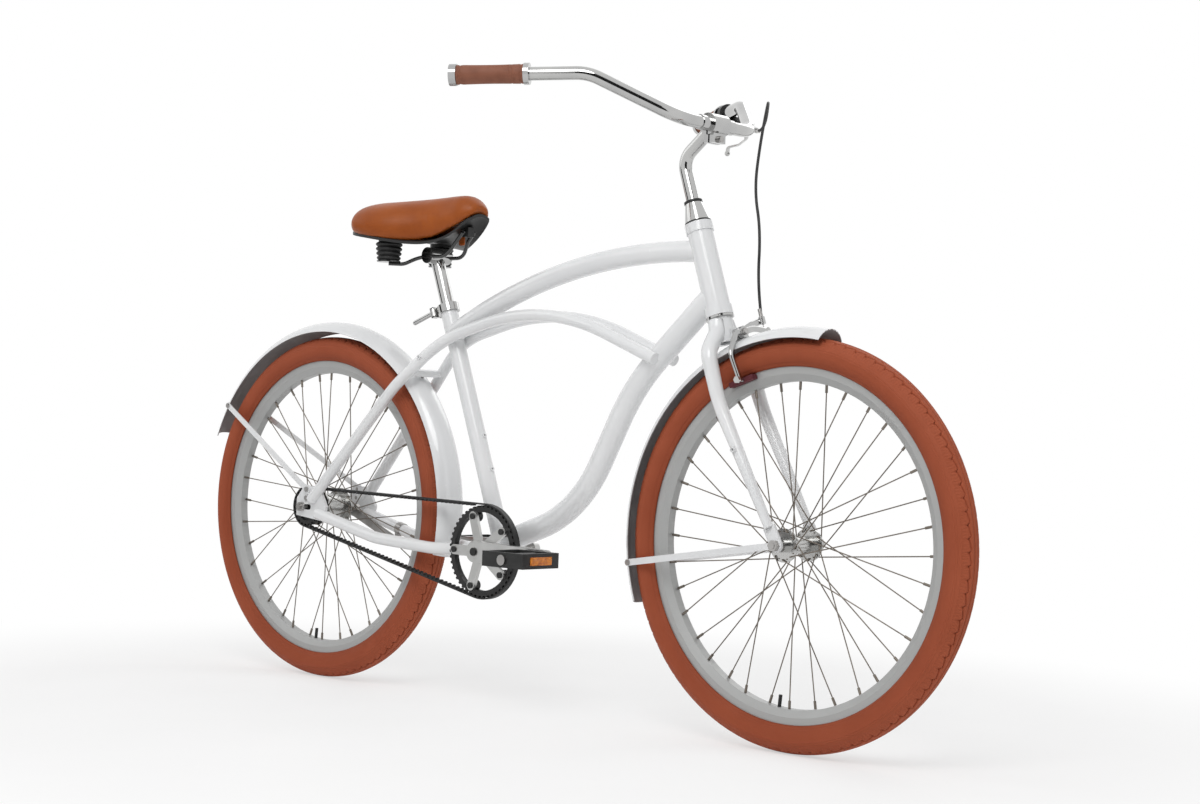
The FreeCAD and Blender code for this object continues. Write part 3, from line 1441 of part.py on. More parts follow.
def make_pads():
    for side, sign in SIDES.items():
        face = dim.rim_width / 2 + dim.brake_pad_gap
        low = face if sign > 0 else -(face + dim.brake_pad_depth)
        corner = (low, -dim.brake_pad_length / 2, -(dim.brake_reach + dim.brake_pad_height / 2))
        node(block(f"brake_pad_{side}", brake_frame, corner,
                   dim.brake_pad_depth, dim.brake_pad_length, dim.brake_pad_height))


cable_corners = [(912.0, 182.0, 1100.0), (938.0, 138.0, 1000.0), (954.0, 100.0, 918.0),
                 (973.0, 80.0, 847.0)]
cable_bends = [20.0, 16.0, 150.0, 150.0, 150.0, 80.0]


def make_cable():
    """The brake cable from the lever's adjuster to the caliper, and the wire that it leads."""
    start = adjuster_start + adjuster_run * float(dim.adjuster_length)
    end = on_brake(dim.brake_cable_y, dim.brake_stop_rise + dim.brake_stop_height / 2 + dim.fit_gap)
    points = [start, start + adjuster_run * float(dim.cable_lead)]
    points += [at(*corner) for corner in cable_corners]
    points += [end + head_up * float(dim.cable_tail), end]
    sleeve = swept("cable_sleeve", points, cable_bends, dim.cable_radius)
    wire = cylinder("cable_wire", end, head_up * -1, dim.wire_radius, dim.wire_length)
    node(group("front_brake_cable", sleeve, wire))
    doc.recompute()
    length = bent_path(points, cable_bends).Length
    filled = math.pi * float(dim.cable_radius) ** 2 * length
    print("cable length", round(length, 1), "volume share", round(sleeve.Shape.Volume / filled, 5),
          "bend radii", cable_bends)


# Mudguards

def guard_shape(radius, drop, first, last):
    """An arched strip bent round an axle at the origin, from the first angle to the last."""
    half = float(dim.guard_half_width)
    section = (half ** 2 + float(drop) ** 2) / (2 * float(drop))
    inner = section - float(dim.guard_wall)
    centre = float(radius) - section
    edge = math.asin(half / section)

    def spot(size, turn):
        return Vector(centre + size * math.cos(turn), size * math.sin(turn), 0)

    outline = Part.Wire([
        Part.Arc(spot(section, -edge), spot(section, 0), spot(section, edge)).toShape(),
        Part.LineSegment(spot(section, edge), spot(inner, edge)).toShape(),
        Part.Arc(spot(inner, edge), spot(inner, 0), spot(inner, -edge)).toShape(),
        Part.LineSegment(spot(inner, -edge), spot(section, -edge)).toShape()])
    profile = turned_copy(Part.Face(outline), float(first))
    return profile.revolve(Vector(), AXIS_Y * -1, float(last - first))


def strip_line(start, end, sign):
    """The sloping run of a mudguard stay: where it starts, its direction, length and outward face."""
    level = point(end.x - start.x, 0, end.z - start.z).normalize()
    base = start + level * float(dim.strip_flat) + AXIS_Y * (float(dim.stay_strip_thickness) / 2 * sign)
    run = (end - base).normalize()
    return SimpleNamespace(level=level, base=base, run=run, length=(end - base).Length,
                           outward=(AXIS_Y - run * run.y).normalize() * sign)


def strip(name, start, end, sign, eye_hole):
    """A flat stay: an eyelet, a short flat run and a sloping run to the mudguard's edge."""
    line = strip_line(start, end, sign)
    low = start if sign > 0 else start - AXIS_Y * float(dim.stay_strip_thickness)
    bend = low + line.level * float(dim.strip_flat)
    flat = link(f"{name}_flat", low, bend, dim.stay_strip_width / 2, dim.stay_strip_thickness)
    eye = cylinder(f"{name}_eye", low, AXIS_Y, dim.strip_eye_radius, dim.stay_strip_thickness)
    sloped = block(f"{name}_slope", framed(line.base, line.run, line.outward),
                   (0, -dim.stay_strip_width / 2, -dim.stay_strip_thickness / 2),
                   line.length, dim.stay_strip_width, dim.stay_strip_thickness)
    hole = cylinder(f"{name}_hole", low, AXIS_Y, eye_hole + dim.cartridge_gap, dim.stay_strip_thickness)
    return cut(name, fuse(f"{name}_blank", flat, eye, sloped), hole)


def headed(name, base, axis, radius, length, head_radius, head_height):
    """A bolt: a shank along the axis and a round head at its end."""
    shank = cylinder(f"{name}_shank", base, axis, radius, length)
    head = cylinder(f"{name}_head", base + axis * float(length), axis, head_radius, head_height)
    return fuse(name, shank, head)


def strip_bolt(name, start, end, sign):
    """The round bolt head on the outside of a mudguard stay's end."""
    line = strip_line(start, end, sign)
    face = line.outward * (float(dim.stay_strip_thickness) / 2)
    base = end - line.run * float(dim.bolt_head_radius) + face
    return cylinder(name, base, line.outward, dim.bolt_head_radius, dim.bolt_head_height)


front_strip_radius = dim.front_guard_radius - dim.front_guard_drop + dim.strip_end_margin
rear_strip_radius = dim.rear_guard_radius - dim.rear_guard_drop + dim.strip_end_margin


def front_strip_places(sign):
    """Where a front mudguard stay starts on the fork and ends on the mudguard."""
    start = front_axle + AXIS_Y * (float(dim.fork_gap_half + dim.fork_plate_thickness) * sign)
    end = front_axle + polar(dim.front_strip_angle, front_strip_radius)
    return start, end + AXIS_Y * float(dim.strip_end_y * sign)


def rear_strip_places(sign):
    """Where a rear mudguard stay starts on the dropout and ends on the mudguard."""
    spot = dropout_spots(sign)[1]
    start = point(spot.x, float(dim.dropout_gap_half + dim.dropout_thickness) * sign, spot.z)
    end = rear_axle + polar(dim.rear_strip_angle, rear_strip_radius)
    return start, end + AXIS_Y * float(dim.strip_end_y * sign)


def front_guard_bracket():
    """The plate on the brake's bolt that carries the front mudguard."""
    front = dim.brake_pivot_forward - dim.crown_radius - dim.fit_gap
    corner = (-dim.bracket_width / 2, front - dim.stay_strip_thickness, -dim.bracket_drop)
    blank = block("guard_bracket_blank", brake_frame, corner,
                  dim.bracket_width, dim.stay_strip_thickness, dim.bracket_height)
    hole = cylinder("guard_bracket_hole", on_brake(0, 0, dim.crown_radius), head_forward,
                    dim.brake_bolt_radius + dim.cartridge_gap, dim.crown_radius)
    arch = cylinder("guard_bracket_arch", front_axle - AXIS_Y * float(dim.bracket_width), AXIS_Y,
                    dim.front_guard_radius + dim.cartridge_gap, dim.bracket_width * 2)
    return cut("front_guard_bracket", blank, hole, arch)


def make_front_guard():
    guard = guard_shape(dim.front_guard_radius, dim.front_guard_drop,
                        dim.front_guard_first, dim.front_guard_last)
    node(shaped("front_mudguard", guard, Placement(front_axle, Rotation())))
    strips = [strip(f"front_strip_{side}", *front_strip_places(sign), sign, dim.front_axle_radius)
              for side, sign in SIDES.items()]
    node(group("front_mudguard_stays", *strips, front_guard_bracket()))


def bridge_bolt(name, bridge):
    """A bolt from a bridge of the stays through the rear mudguard's crown."""
    inward = (rear_axle - bridge).normalize()
    reach = (bridge - rear_axle).Length - float(dim.bridge_radius)
    inner = dim.rear_guard_radius - dim.guard_wall * 2
    return headed(name, rear_axle - inward * reach, inward, dim.guard_bolt_radius, reach - float(inner),
                  dim.bolt_head_radius, dim.bolt_head_height)


chain_bridge_middle = at(dim.chainstay_bridge_x, 0, dim.chainstay_waist_z)
seat_bridge_middle = point(bridge_spot.x, 0, bridge_spot.z)


def make_rear_guard():
    guard = shaped("rear_guard_blank",
                   guard_shape(dim.rear_guard_radius, dim.rear_guard_drop,
                               dim.rear_guard_first, dim.rear_guard_last),
                   Placement(rear_axle, Rotation()))
    holes = [cylinder(f"{name}_guard_hole", middle, rear_axle - middle,
                      dim.guard_bolt_radius + dim.cartridge_gap, dim.guard_hole_length)
             for name, middle in (("seat", seat_bridge_middle), ("chainstay", chain_bridge_middle))]
    node(cut("rear_mudguard", guard, *holes))
    strips = [strip(f"rear_strip_{side}", *rear_strip_places(sign), sign, dim.dropout_bolt_radius)
              for side, sign in SIDES.items()]
    node(group("rear_mudguard_stays", *strips))


# Bolts on the fork and on the frame

def make_steering_bolts():
    """The stem's pinch bolt, the brake's pivot bolt with its nut, and the mudguard stays' bolts."""
    stem_bolt = headed("stem_bolt", stem_bolt_start(), AXIS_X, dim.stem_bolt_radius, dim.stem_lug_width,
                       dim.stem_bolt_head, dim.stem_bolt_head)
    arms_back = dim.brake_arm_layer + dim.brake_arm_depth
    back = dim.brake_pivot_forward - dim.steerer_radius - dim.fit_gap
    front = arms_back + dim.fit_gap
    shank = cylinder("pivot_shank", on_brake(0, 0, back), head_forward, dim.brake_bolt_radius,
                     back + front + dim.pad_nut_height)
    collar_back = dim.brake_pivot_forward - dim.crown_radius - dim.fit_gap - dim.stay_strip_thickness
    collar = cylinder("pivot_collar", on_brake(0, 0, collar_back), head_forward, dim.pad_nut_radius,
                      collar_back - front)
    nut_blank = hexagon("pivot_nut_blank", on_brake(0, 0, -front), head_forward,
                        dim.pad_nut_radius, dim.pad_nut_height)
    nut_hole = cylinder("pivot_nut_hole", on_brake(0, 0, -front), head_forward,
                        dim.brake_bolt_radius + dim.cartridge_gap, dim.pad_nut_height)
    ends = [strip_bolt(f"front_strip_bolt_{side}", *front_strip_places(sign), sign)
            for side, sign in SIDES.items()]
    node(group("steering_bolts", stem_bolt, fuse("pivot_bolt", shank, collar),
               cut("pivot_nut", nut_blank, nut_hole), *ends))


def make_frame_bolts():
    """The dropouts' bolts, and the bolts of the rear mudguard and its stays."""
    bolts = []
    for side, sign in SIDES.items():
        for index, spot in enumerate(dropout_spots(sign)):
            length = dim.dropout_thickness + dim.stay_strip_thickness * index
            base = point(spot.x, float(dim.dropout_gap_half) * sign, spot.z)
            bolts.append(headed(f"dropout_bolt_{side}_{index}", base, AXIS_Y * sign, dim.dropout_bolt_radius,
                                length, dim.bolt_head_radius, dim.bolt_head_height))
        bolts.append(strip_bolt(f"rear_strip_bolt_{side}", *rear_strip_places(sign), sign))
    bolts.append(bridge_bolt("seat_bridge_bolt", seat_bridge_middle))
    bolts.append(bridge_bolt("chainstay_bridge_bolt", chain_bridge_middle))
    node(group("frame_bolts", *bolts))


make_lever_body()
make_lever()
make_brake_arms()
make_pads()
make_cable()
make_front_guard()
make_rear_guard()
make_steering_bolts()
make_frame_bolts()


# Belt drive

belt_run = rear_axle - bottom_bracket
belt_angle = math.degrees(math.atan2(belt_run.z, belt_run.x))
ring_pitch = float(ring_pitch_radius)
sprocket_pitch = float(sprocket_pitch_radius)
belt_slope = math.asin((ring_pitch - sprocket_pitch) / belt_run.Length)
upper_angle = belt_angle - 90 + math.degrees(belt_slope)
lower_angle = belt_angle + 90 - math.degrees(belt_slope)
straight_run = belt_run.Length * math.cos(belt_slope)
rear_arc = sprocket_pitch * (math.pi - 2 * belt_slope)
front_arc_start = straight_run * 2 + rear_arc


def between(start, end, share):
    return start + (end - start) * share


def on_belt(along, depth):
    """A place at a depth inside the pitch line, by the distance along it from the top of the ring."""
    ring = ring_pitch - depth
    sprocket = sprocket_pitch - depth
    if along < straight_run:
        return between(bottom_bracket + polar(upper_angle, ring),
                       rear_axle + polar(upper_angle, sprocket), along / straight_run)
    if along < straight_run + rear_arc:
        turn = math.degrees((along - straight_run) / sprocket_pitch)
        return rear_axle + polar(upper_angle + turn, sprocket)
    if along < front_arc_start:
        return between(rear_axle + polar(lower_angle, sprocket),
                       bottom_bracket + polar(lower_angle, ring),
                       (along - straight_run - rear_arc) / straight_run)
    turn = math.degrees((along - front_arc_start) / ring_pitch)
    return bottom_bracket + polar(lower_angle + turn, ring)


def disc_land(pitch_radius):
    """Radius of a toothed disc's tips."""
    return pitch_radius - float(dim.belt_root + dim.belt_gap)


def clear_of_discs(tooth):
    """Whether a tooth of the belt, which stands still, lies outside both of the discs that turn."""
    discs = ((bottom_bracket, ring_pitch), (rear_axle, sprocket_pitch))
    return all((place - centre).Length > disc_land(pitch_radius) + float(dim.fit_gap)
               for place in tooth for centre, pitch_radius in discs)


def belt_face():
    """The belt's outline: teeth on the inside of its free runs, a smooth back on the outside."""
    back = -float(dim.belt_back)
    length = float(dim.belt_pitch * dim.belt_teeth)
    marks = [0, straight_run, straight_run + rear_arc / 2, straight_run + rear_arc, front_arc_start,
             (front_arc_start + length) / 2]
    start, top, rear, low, turn, front = [on_belt(mark, back) for mark in marks]
    outer = Part.Wire([Part.LineSegment(start, top).toShape(), Part.Arc(top, rear, low).toShape(),
                       Part.LineSegment(low, turn).toShape(), Part.Arc(turn, front, start).toShape()])
    root = float(dim.belt_root)
    tip = float(dim.belt_root + dim.belt_tooth)
    wide = float(dim.belt_tooth_root)
    narrow = float(dim.belt_tooth_tip)
    corners = []
    for index in range(int(float(dim.belt_teeth))):
        middle = float(dim.belt_pitch) * index
        tooth = [on_belt((middle + offset) % length, depth)
                 for offset, depth in ((-wide, root), (-narrow, tip), (narrow, tip), (wide, root))]
        corners += tooth if clear_of_discs(tooth) else [tooth[0], tooth[-1]]
    inner = Part.makePolygon(corners + corners[:1])
    return Part.makeFace([outer, inner], "Part::FaceMakerBullseye")


def toothed(name, centre, pitch_radius, first_angle, count):
    """A disc with grooves for the belt's teeth."""
    land = disc_land(pitch_radius)
    floor = land - float(dim.belt_tooth)
    wide = math.degrees(float(dim.belt_tooth_root + dim.belt_gap) / pitch_radius)
    narrow = math.degrees(float(dim.belt_tooth_tip + dim.belt_gap) / pitch_radius)
    corners = []
    for index in range(count):
        middle = first_angle + 360 * index / count
        for offset, radius in ((-wide, land), (-narrow, floor), (narrow, floor), (wide, land)):
            corners.append(polar(middle + offset, radius))
    face = Part.Face(Part.makePolygon(corners + corners[:1]))
    disc = face.extrude(AXIS_Y * float(dim.belt_width))
    outer_side = centre - AXIS_Y * float(dim.belt_line + dim.belt_width / 2)
    return shaped(name, disc, Placement(outer_side, Rotation()))


def make_belt():
    start = AXIS_Y * float(dim.belt_line + dim.belt_width / 2)
    solid = belt_face().extrude(AXIS_Y * float(dim.belt_width))
    node(shaped("drive_belt", solid, Placement(start * -1, Rotation())))


def make_sprocket():
    """The rear belt sprocket, which turns on the rear axle and drives the hub."""
    outer_face = rear_axle - AXIS_Y * float(dim.belt_line + dim.belt_width / 2)
    first = upper_angle - math.degrees(straight_run / sprocket_pitch)
    disc = toothed("sprocket_disc", rear_axle, sprocket_pitch, first, int(float(dim.sprocket_teeth)))
    bore = cylinder("sprocket_bore", outer_face, AXIS_Y,
                    dim.rear_axle_radius + dim.running_gap, dim.belt_width)
    recess = cut("sprocket_recess_ring",
                 cylinder("sprocket_recess_outer", outer_face, AXIS_Y,
                          dim.sprocket_recess_radius, dim.sprocket_recess),
                 cylinder("sprocket_recess_core", outer_face, AXIS_Y,
                          dim.sprocket_core_radius, dim.sprocket_recess))
    node(cut("rear_sprocket", disc, bore, recess))


# Cranks and pedals

spider_count = int(float(dim.spider_arms))
spider_angles = [180 + 360 * index / spider_count for index in range(spider_count)]
ring_inner_face = dim.belt_line - dim.belt_width / 2
ring_outer_face = dim.belt_line + dim.belt_width / 2
crank_outer = dim.crank_inner + dim.crank_thickness


def make_belt_ring():
    """The front belt ring with a tab for each arm of the spider."""
    base = bottom_bracket - AXIS_Y * float(ring_outer_face)
    first = lower_angle - math.degrees(front_arc_start / ring_pitch)
    disc = toothed("ring_disc", bottom_bracket, ring_pitch, first, int(float(dim.ring_teeth)))
    opening = cylinder("ring_opening", base, AXIS_Y, dim.ring_inner_radius, dim.belt_width)
    tabs = []
    holes = []
    for index, angle in enumerate(spider_angles):
        spot = base + polar(angle, dim.ring_bolt_circle)
        tabs.append(cylinder(f"ring_tab_{index}", spot, AXIS_Y, dim.ring_tab_radius, dim.belt_width))
        holes.append(cylinder(f"ring_hole_{index}", spot, AXIS_Y,
                              dim.ring_bolt_radius + dim.cartridge_gap, dim.belt_width))
    node(cut("belt_ring", fuse("ring_blank", cut("ring_band", disc, opening), *tabs), *holes))


def crank_bar(side, ahead):
    """A tapered crank arm, pointing ahead or back, and the holes through it."""
    sign = SIDES[side]
    low = dim.crank_inner if sign > 0 else -crank_outer
    base = bottom_bracket + AXIS_Y * float(low)
    end = base + AXIS_X * float(dim.crank_length * ahead)
    reach = dim.crank_length * ahead
    outline = [(0, -dim.crank_hub_radius), (reach, -dim.crank_end_radius),
               (reach, dim.crank_end_radius), (0, dim.crank_hub_radius)]
    bar = plate(f"crank_bar_{side}", Placement(base, Rotation()), [outline], dim.crank_thickness)
    hub = cylinder(f"crank_hub_{side}", base, AXIS_Y, dim.crank_hub_radius, dim.crank_thickness)
    tip = cylinder(f"crank_tip_{side}", end, AXIS_Y, dim.crank_end_radius, dim.crank_thickness)
    start = bottom_bracket - AXIS_Y * float(crank_outer)
    holes = [cylinder(f"spindle_hole_{side}", start, AXIS_Y, dim.spindle_radius + dim.cartridge_gap,
                      crank_outer * 2),
             cylinder(f"pedal_hole_{side}", end, AXIS_Y, dim.pedal_spindle_radius + dim.cartridge_gap,
                      dim.crank_thickness)]
    return [bar, hub, tip], holes


def make_cranks():
    """The left arm, and the right arm with the spider that carries the belt ring."""
    solids, holes = crank_bar("left", -1)
    node(cut("crank_arm_left", fuse("crank_left_blank", *solids), *holes))
    solids, holes = crank_bar("right", 1)
    low = bottom_bracket - AXIS_Y * float(ring_outer_face + dim.spider_thickness)
    solids.append(cylinder("spider_hub", bottom_bracket - AXIS_Y * float(crank_outer), AXIS_Y,
                           dim.crank_hub_radius, crank_outer - ring_outer_face))
    for index, angle in enumerate(spider_angles):
        spot = low + polar(angle, dim.ring_bolt_circle)
        solids.append(link(f"spider_arm_{index}", low, spot, dim.spider_arm_radius, dim.spider_thickness))
        holes.append(cylinder(f"spider_hole_{index}", spot, AXIS_Y,
                              dim.ring_bolt_radius + dim.cartridge_gap, dim.spider_thickness))
    node(cut("crank_arm_right", fuse("crank_right_blank", *solids), *holes))


def pedal_axis(sign):
    """Middle of the crank arm's pedal hole, on the bicycle's middle plane."""
    return bottom_bracket - AXIS_X * float(dim.crank_length * sign)


def make_spindles():
    """The crank spindle, and a spindle with a collar and an end cap for each pedal."""
    solids = [cylinder("crank_shaft", bottom_bracket - AXIS_Y * float(crank_outer), AXIS_Y,
                       dim.spindle_radius, crank_outer * 2)]
    for side, sign in SIDES.items():
        axis = AXIS_Y * sign
        middle = pedal_axis(sign)
        cap_start = dim.pedal_start + dim.pedal_width + dim.fit_gap
        shaft = cylinder(f"pedal_shaft_{side}", middle + axis * float(dim.crank_inner), axis,
                         dim.pedal_spindle_radius, cap_start - dim.crank_inner)
        collar = cylinder(f"pedal_collar_{side}", middle + axis * float(crank_outer), axis,
                          dim.pedal_cap_radius, dim.pedal_start - dim.fit_gap - crank_outer)
        cap = cylinder(f"pedal_cap_{side}", middle + axis * float(cap_start), axis,
                       dim.pedal_cap_radius, dim.pedal_cap_height)
        solids.append(fuse(f"pedal_spindle_{side}", shaft, collar, cap))
    node(group("crank_spindles", *solids))


def make_crank_bolts():
    bolts = []
    for index, angle in enumerate(spider_angles):
        base = bottom_bracket - AXIS_Y * float(ring_inner_face) + polar(angle, dim.ring_bolt_circle)
        bolts.append(headed(f"ring_bolt_{index}", base, AXIS_Y * -1, dim.ring_bolt_radius,
                            dim.belt_width + dim.spider_thickness, dim.ring_bolt_head, dim.bolt_head_height))
    for side, sign in SIDES.items():
        base = bottom_bracket + AXIS_Y * float(crank_outer * sign)
        bolts.append(cylinder(f"crank_bolt_{side}", base, AXIS_Y * sign,
                              dim.crank_bolt_radius, dim.crank_bolt_height))
    node(group("crankset_bolts", *bolts))


def make_pedal(side):
    """A block pedal: two treads, two end plates and a barrel, with a reflector on each tread."""
    sign = SIDES[side]
    low = dim.pedal_start if sign > 0 else -(dim.pedal_start + dim.pedal_width)
    frame = Placement(pedal_axis(sign) + AXIS_Y * float(low), Rotation())
    half = dim.pedal_length / 2
    floor = -dim.pedal_height / 2
    treads = [block(f"pedal_tread_{side}_{index}", frame, (start, 0, floor),
                    dim.pedal_rail, dim.pedal_width, dim.pedal_height)
              for index, start in enumerate((-half, half - dim.pedal_rail))]
    plates = [block(f"pedal_plate_{side}_{index}", frame, (-half, start, floor),
                    dim.pedal_length, dim.pedal_plate, dim.pedal_height)
              for index, start in enumerate((0, dim.pedal_width - dim.pedal_plate))]
    barrel = cylinder(f"pedal_barrel_{side}", frame.Base, AXIS_Y, dim.pedal_hub_radius, dim.pedal_width)
    bore = cylinder(f"pedal_bore_{side}", frame.Base, AXIS_Y,
                    dim.pedal_spindle_radius + dim.running_gap, dim.pedal_width)
    aside = (dim.pedal_width - dim.reflector_width) / 2
    reflectors = [block(f"reflector_{side}_{index}", frame, (start, aside, -dim.reflector_height / 2),
                        dim.reflector_depth, dim.reflector_width, dim.reflector_height)
                  for index, start in enumerate((-(half + dim.reflector_proud),
                                                 half + dim.reflector_proud - dim.reflector_depth))]
    blank = fuse(f"pedal_blank_{side}", *treads, *plates, barrel)
    node(group(f"pedal_{side}", cut(f"pedal_body_{side}", blank, bore, *reflectors), *reflectors))


# Coaster brake arm

def make_coaster_arm():
    """The reaction arm of the rear hub's brake, and the clip that ties it to the left chainstay."""
    start = rear_axle + AXIS_Y * float(dim.coaster_inner)
    end = start + point(dim.coaster_clip_x, 0, -dim.coaster_drop)
    disc = cylinder("coaster_disc", start, AXIS_Y, dim.coaster_hub_radius, dim.coaster_thickness)
    arm = link("coaster_bar", start, end, dim.coaster_arm_half, dim.coaster_thickness)
    axle_hole = cylinder("coaster_axle_hole", start, AXIS_Y,
                         dim.rear_axle_radius + dim.cartridge_gap, dim.coaster_thickness)
    bolt_hole = cylinder("coaster_bolt_hole", end, AXIS_Y, dim.coaster_bolt_radius + dim.cartridge_gap,
                         dim.coaster_thickness * 2)
    arm_solid = cut("coaster_arm", fuse("coaster_blank", disc, arm), axle_hole, bolt_hole)
    rear, hip = chainstay_points(1)[:2]
    run = (hip - rear).normalize()
    middle = rear + run * ((end.x - rear.x) / run.x)
    half = run * float(dim.coaster_clip_width / 2)
    band = cylinder("clip_band", middle - half, run, dim.chainstay_radius + dim.coaster_clip_wall,
                    dim.coaster_clip_width)
    tab = block("clip_tab", Placement(end + AXIS_Y * float(dim.coaster_thickness), Rotation()),
                (-dim.coaster_clip_width / 2, 0, -dim.coaster_arm_half),
                dim.coaster_clip_width, dim.coaster_thickness, dim.clip_tab_height)
    clip = cut("coaster_clip", fuse("clip_blank", band, tab), chainstay_outers["left"], bolt_hole)
    bolt = headed("coaster_bolt", end, AXIS_Y, dim.coaster_bolt_radius, dim.coaster_thickness * 2,
                  dim.bolt_head_radius, dim.bolt_head_height)
    node(group("coaster_brake_arm", arm_solid, clip, bolt))


make_belt()
make_sprocket()
make_belt_ring()
make_cranks()
make_spindles()
make_crank_bolts()
make_pedal("right")
make_pedal("left")
make_coaster_arm()


# Seat

def lofted(name, sections, ruled):
    solid = doc.addObject("Part::Loft", name)
    solid.Sections = sections
    solid.Solid = True
    solid.Ruled = ruled
    return solid


collar_start = dim.seat_tube_length - dim.clamp_height
collar_frame = framed(on_seat(collar_start), seat_forward * -1, seat_up)


def on_collar(back, right, rise):
    """A place on the seat clamp: behind the seat tube's axis, to the right and up the tube."""
    return collar_frame.multVec(point(back, right, rise))


clamp_pin_right = dim.clamp_ear_half + dim.clamp_pin_reach


def make_seat_clamp():
    """The split collar on the seat tube, and its bolt with a fork for the quick-release lever."""
    outer = cylinder("collar_outer", on_seat(collar_start), seat_up, dim.clamp_radius, dim.clamp_height)
    ears = block("collar_ears", collar_frame, (0, -dim.clamp_ear_half, 0),
                 dim.clamp_lug, dim.clamp_ear_half * 2, dim.clamp_height)
    slit = block("collar_slit", collar_frame, (0, -dim.clamp_slit / 2, 0),
                 dim.clamp_lug, dim.clamp_slit, dim.clamp_height)
    middle = dim.clamp_height / 2
    hole = cylinder("collar_hole", on_collar(dim.clamp_bolt_place, -dim.clamp_ear_half, middle), AXIS_Y * -1,
                    dim.clamp_bolt_radius + dim.cartridge_gap, dim.clamp_ear_half * 2)
    collar = cut("collar", fuse("collar_blank", outer, ears), seat_outer, top_outer, slit, hole)
    head_end = on_collar(dim.clamp_bolt_place, -dim.clamp_ear_half, middle)
    bolt = cylinder("collar_bolt_shank", head_end, AXIS_Y * -1,
                    dim.clamp_bolt_radius, dim.clamp_ear_half * 2)
    head = cylinder("collar_bolt_head", head_end, AXIS_Y, dim.bolt_head_radius, dim.bolt_head_height)
    back = dim.clamp_bolt_place - dim.clevis_half
    web = block("clevis_web", collar_frame, (back, dim.clamp_ear_half, -dim.clevis_plate),
                dim.clevis_half * 2, dim.clevis_plate, dim.clamp_height + dim.clevis_plate * 2)
    cheeks = [block(f"clevis_cheek_{index}", collar_frame, (back, dim.clamp_ear_half, rise),
                    dim.clevis_half * 2, dim.clamp_pin_reach + dim.clevis_half, dim.clevis_plate)
              for index, rise in enumerate((-dim.clevis_plate, dim.clamp_height))]
    pin_foot = on_collar(dim.clamp_bolt_place, clamp_pin_right, -dim.clevis_plate)
    pin = cylinder("clevis_pin", pin_foot, seat_up,
                   dim.clamp_pin_radius, dim.clamp_height + dim.clevis_plate * 2)
    node(group("seat_clamp", collar, fuse("collar_bolt", bolt, head, web, *cheeks, pin)))


def make_clamp_lever():
    """The quick-release lever, which turns on the pin of the clamp's bolt."""
    start = on_collar(dim.clamp_bolt_place, clamp_pin_right, dim.fit_gap)
    cam = cylinder("cam_barrel", start, seat_up, dim.clamp_cam_radius, dim.clamp_height - dim.fit_gap * 2)
    bore = cylinder("cam_bore", start, seat_up, dim.clamp_pin_radius + dim.running_gap, dim.clamp_height)
    middle = on_collar(dim.clamp_bolt_place, clamp_pin_right, dim.clamp_height / 2)
    arm = cylinder("clamp_lever_arm", middle, seat_forward * -1,
                   dim.clamp_lever_radius, dim.clamp_lever_length)
    tip = doc.addObject("Part::Sphere", "clamp_lever_tip")
    bind(tip, Radius=dim.clamp_lever_radius)
    tip.Placement = Placement(middle - seat_forward * float(dim.clamp_lever_length), Rotation())
    node(cut("seat_clamp_lever", fuse("clamp_lever_blank", cam, arm, tip), bore))


def rail_points(sign):
    """A saddle rail, from the disc under its boot to the pin below the nose."""
    foot = dim.boot_base_z - dim.rail_drop
    return [at(dim.boot_x, dim.boot_y * sign, foot),
            at(dim.rail_foot_x, dim.rail_foot_y * sign, foot),
            at(dim.rail_seat_x, dim.rail_seat_y * sign, dim.rail_seat_z),
            at(dim.rail_front_x, dim.rail_seat_y * sign, dim.rail_seat_z),
            at(dim.rail_rise_x, dim.rail_rise_y * sign, dim.rail_rise_z),
            at(dim.nose_pin_x, dim.rail_rise_y * sign, dim.nose_pin_z)]


rails = {side: swept(f"rail_{side}", rail_points(sign),
                     [dim.rail_bend] * 4, dim.rail_radius)
         for side, sign in SIDES.items()}
boot_tops = dim.boot_base_z + dim.boot_height


def boot_place(sign, height):
    return at(dim.boot_x, dim.boot_y * sign, height)


def make_seatpost():
    """The seatpost with the cross barrel that grips the saddle's rails."""
    outer = cylinder("post_outer", on_seat(dim.seatpost_bottom), seat_up,
                     dim.seatpost_radius, dim.seatpost_top - dim.seatpost_bottom)
    bore = cylinder("post_bore", on_seat(dim.seatpost_bottom), seat_up,
                    dim.seatpost_radius - dim.seatpost_wall, dim.seatpost_top - dim.seatpost_bottom)
    barrel = cylinder("saddle_clamp_barrel",
                      at(dim.saddle_clamp_x, -dim.saddle_clamp_half, dim.saddle_clamp_z), AXIS_Y,
                      dim.saddle_clamp_radius, dim.saddle_clamp_half * 2)
    clamp = cut("saddle_clamp", barrel, outer, rails["right"], rails["left"])
    node(group("seatpost", cut("seatpost_tube", outer, bore), clamp))


def make_rails():
    """Two bent rails joined by the pin below the nose, with a disc under each boot."""
    pin = cylinder("nose_pin", at(dim.nose_pin_x, -dim.nose_pin_half, dim.nose_pin_z), AXIS_Y,
                   dim.nose_pin_radius, dim.nose_pin_half * 2)
    discs = [cylinder(f"boot_disc_{side}", boot_place(sign, dim.boot_base_z - dim.boot_disc_height), AXIS_Z,
                      dim.boot_disc_radius, dim.boot_disc_height)
             for side, sign in SIDES.items()]
    node(fuse("saddle_rails", *rails.values(), pin, *discs))


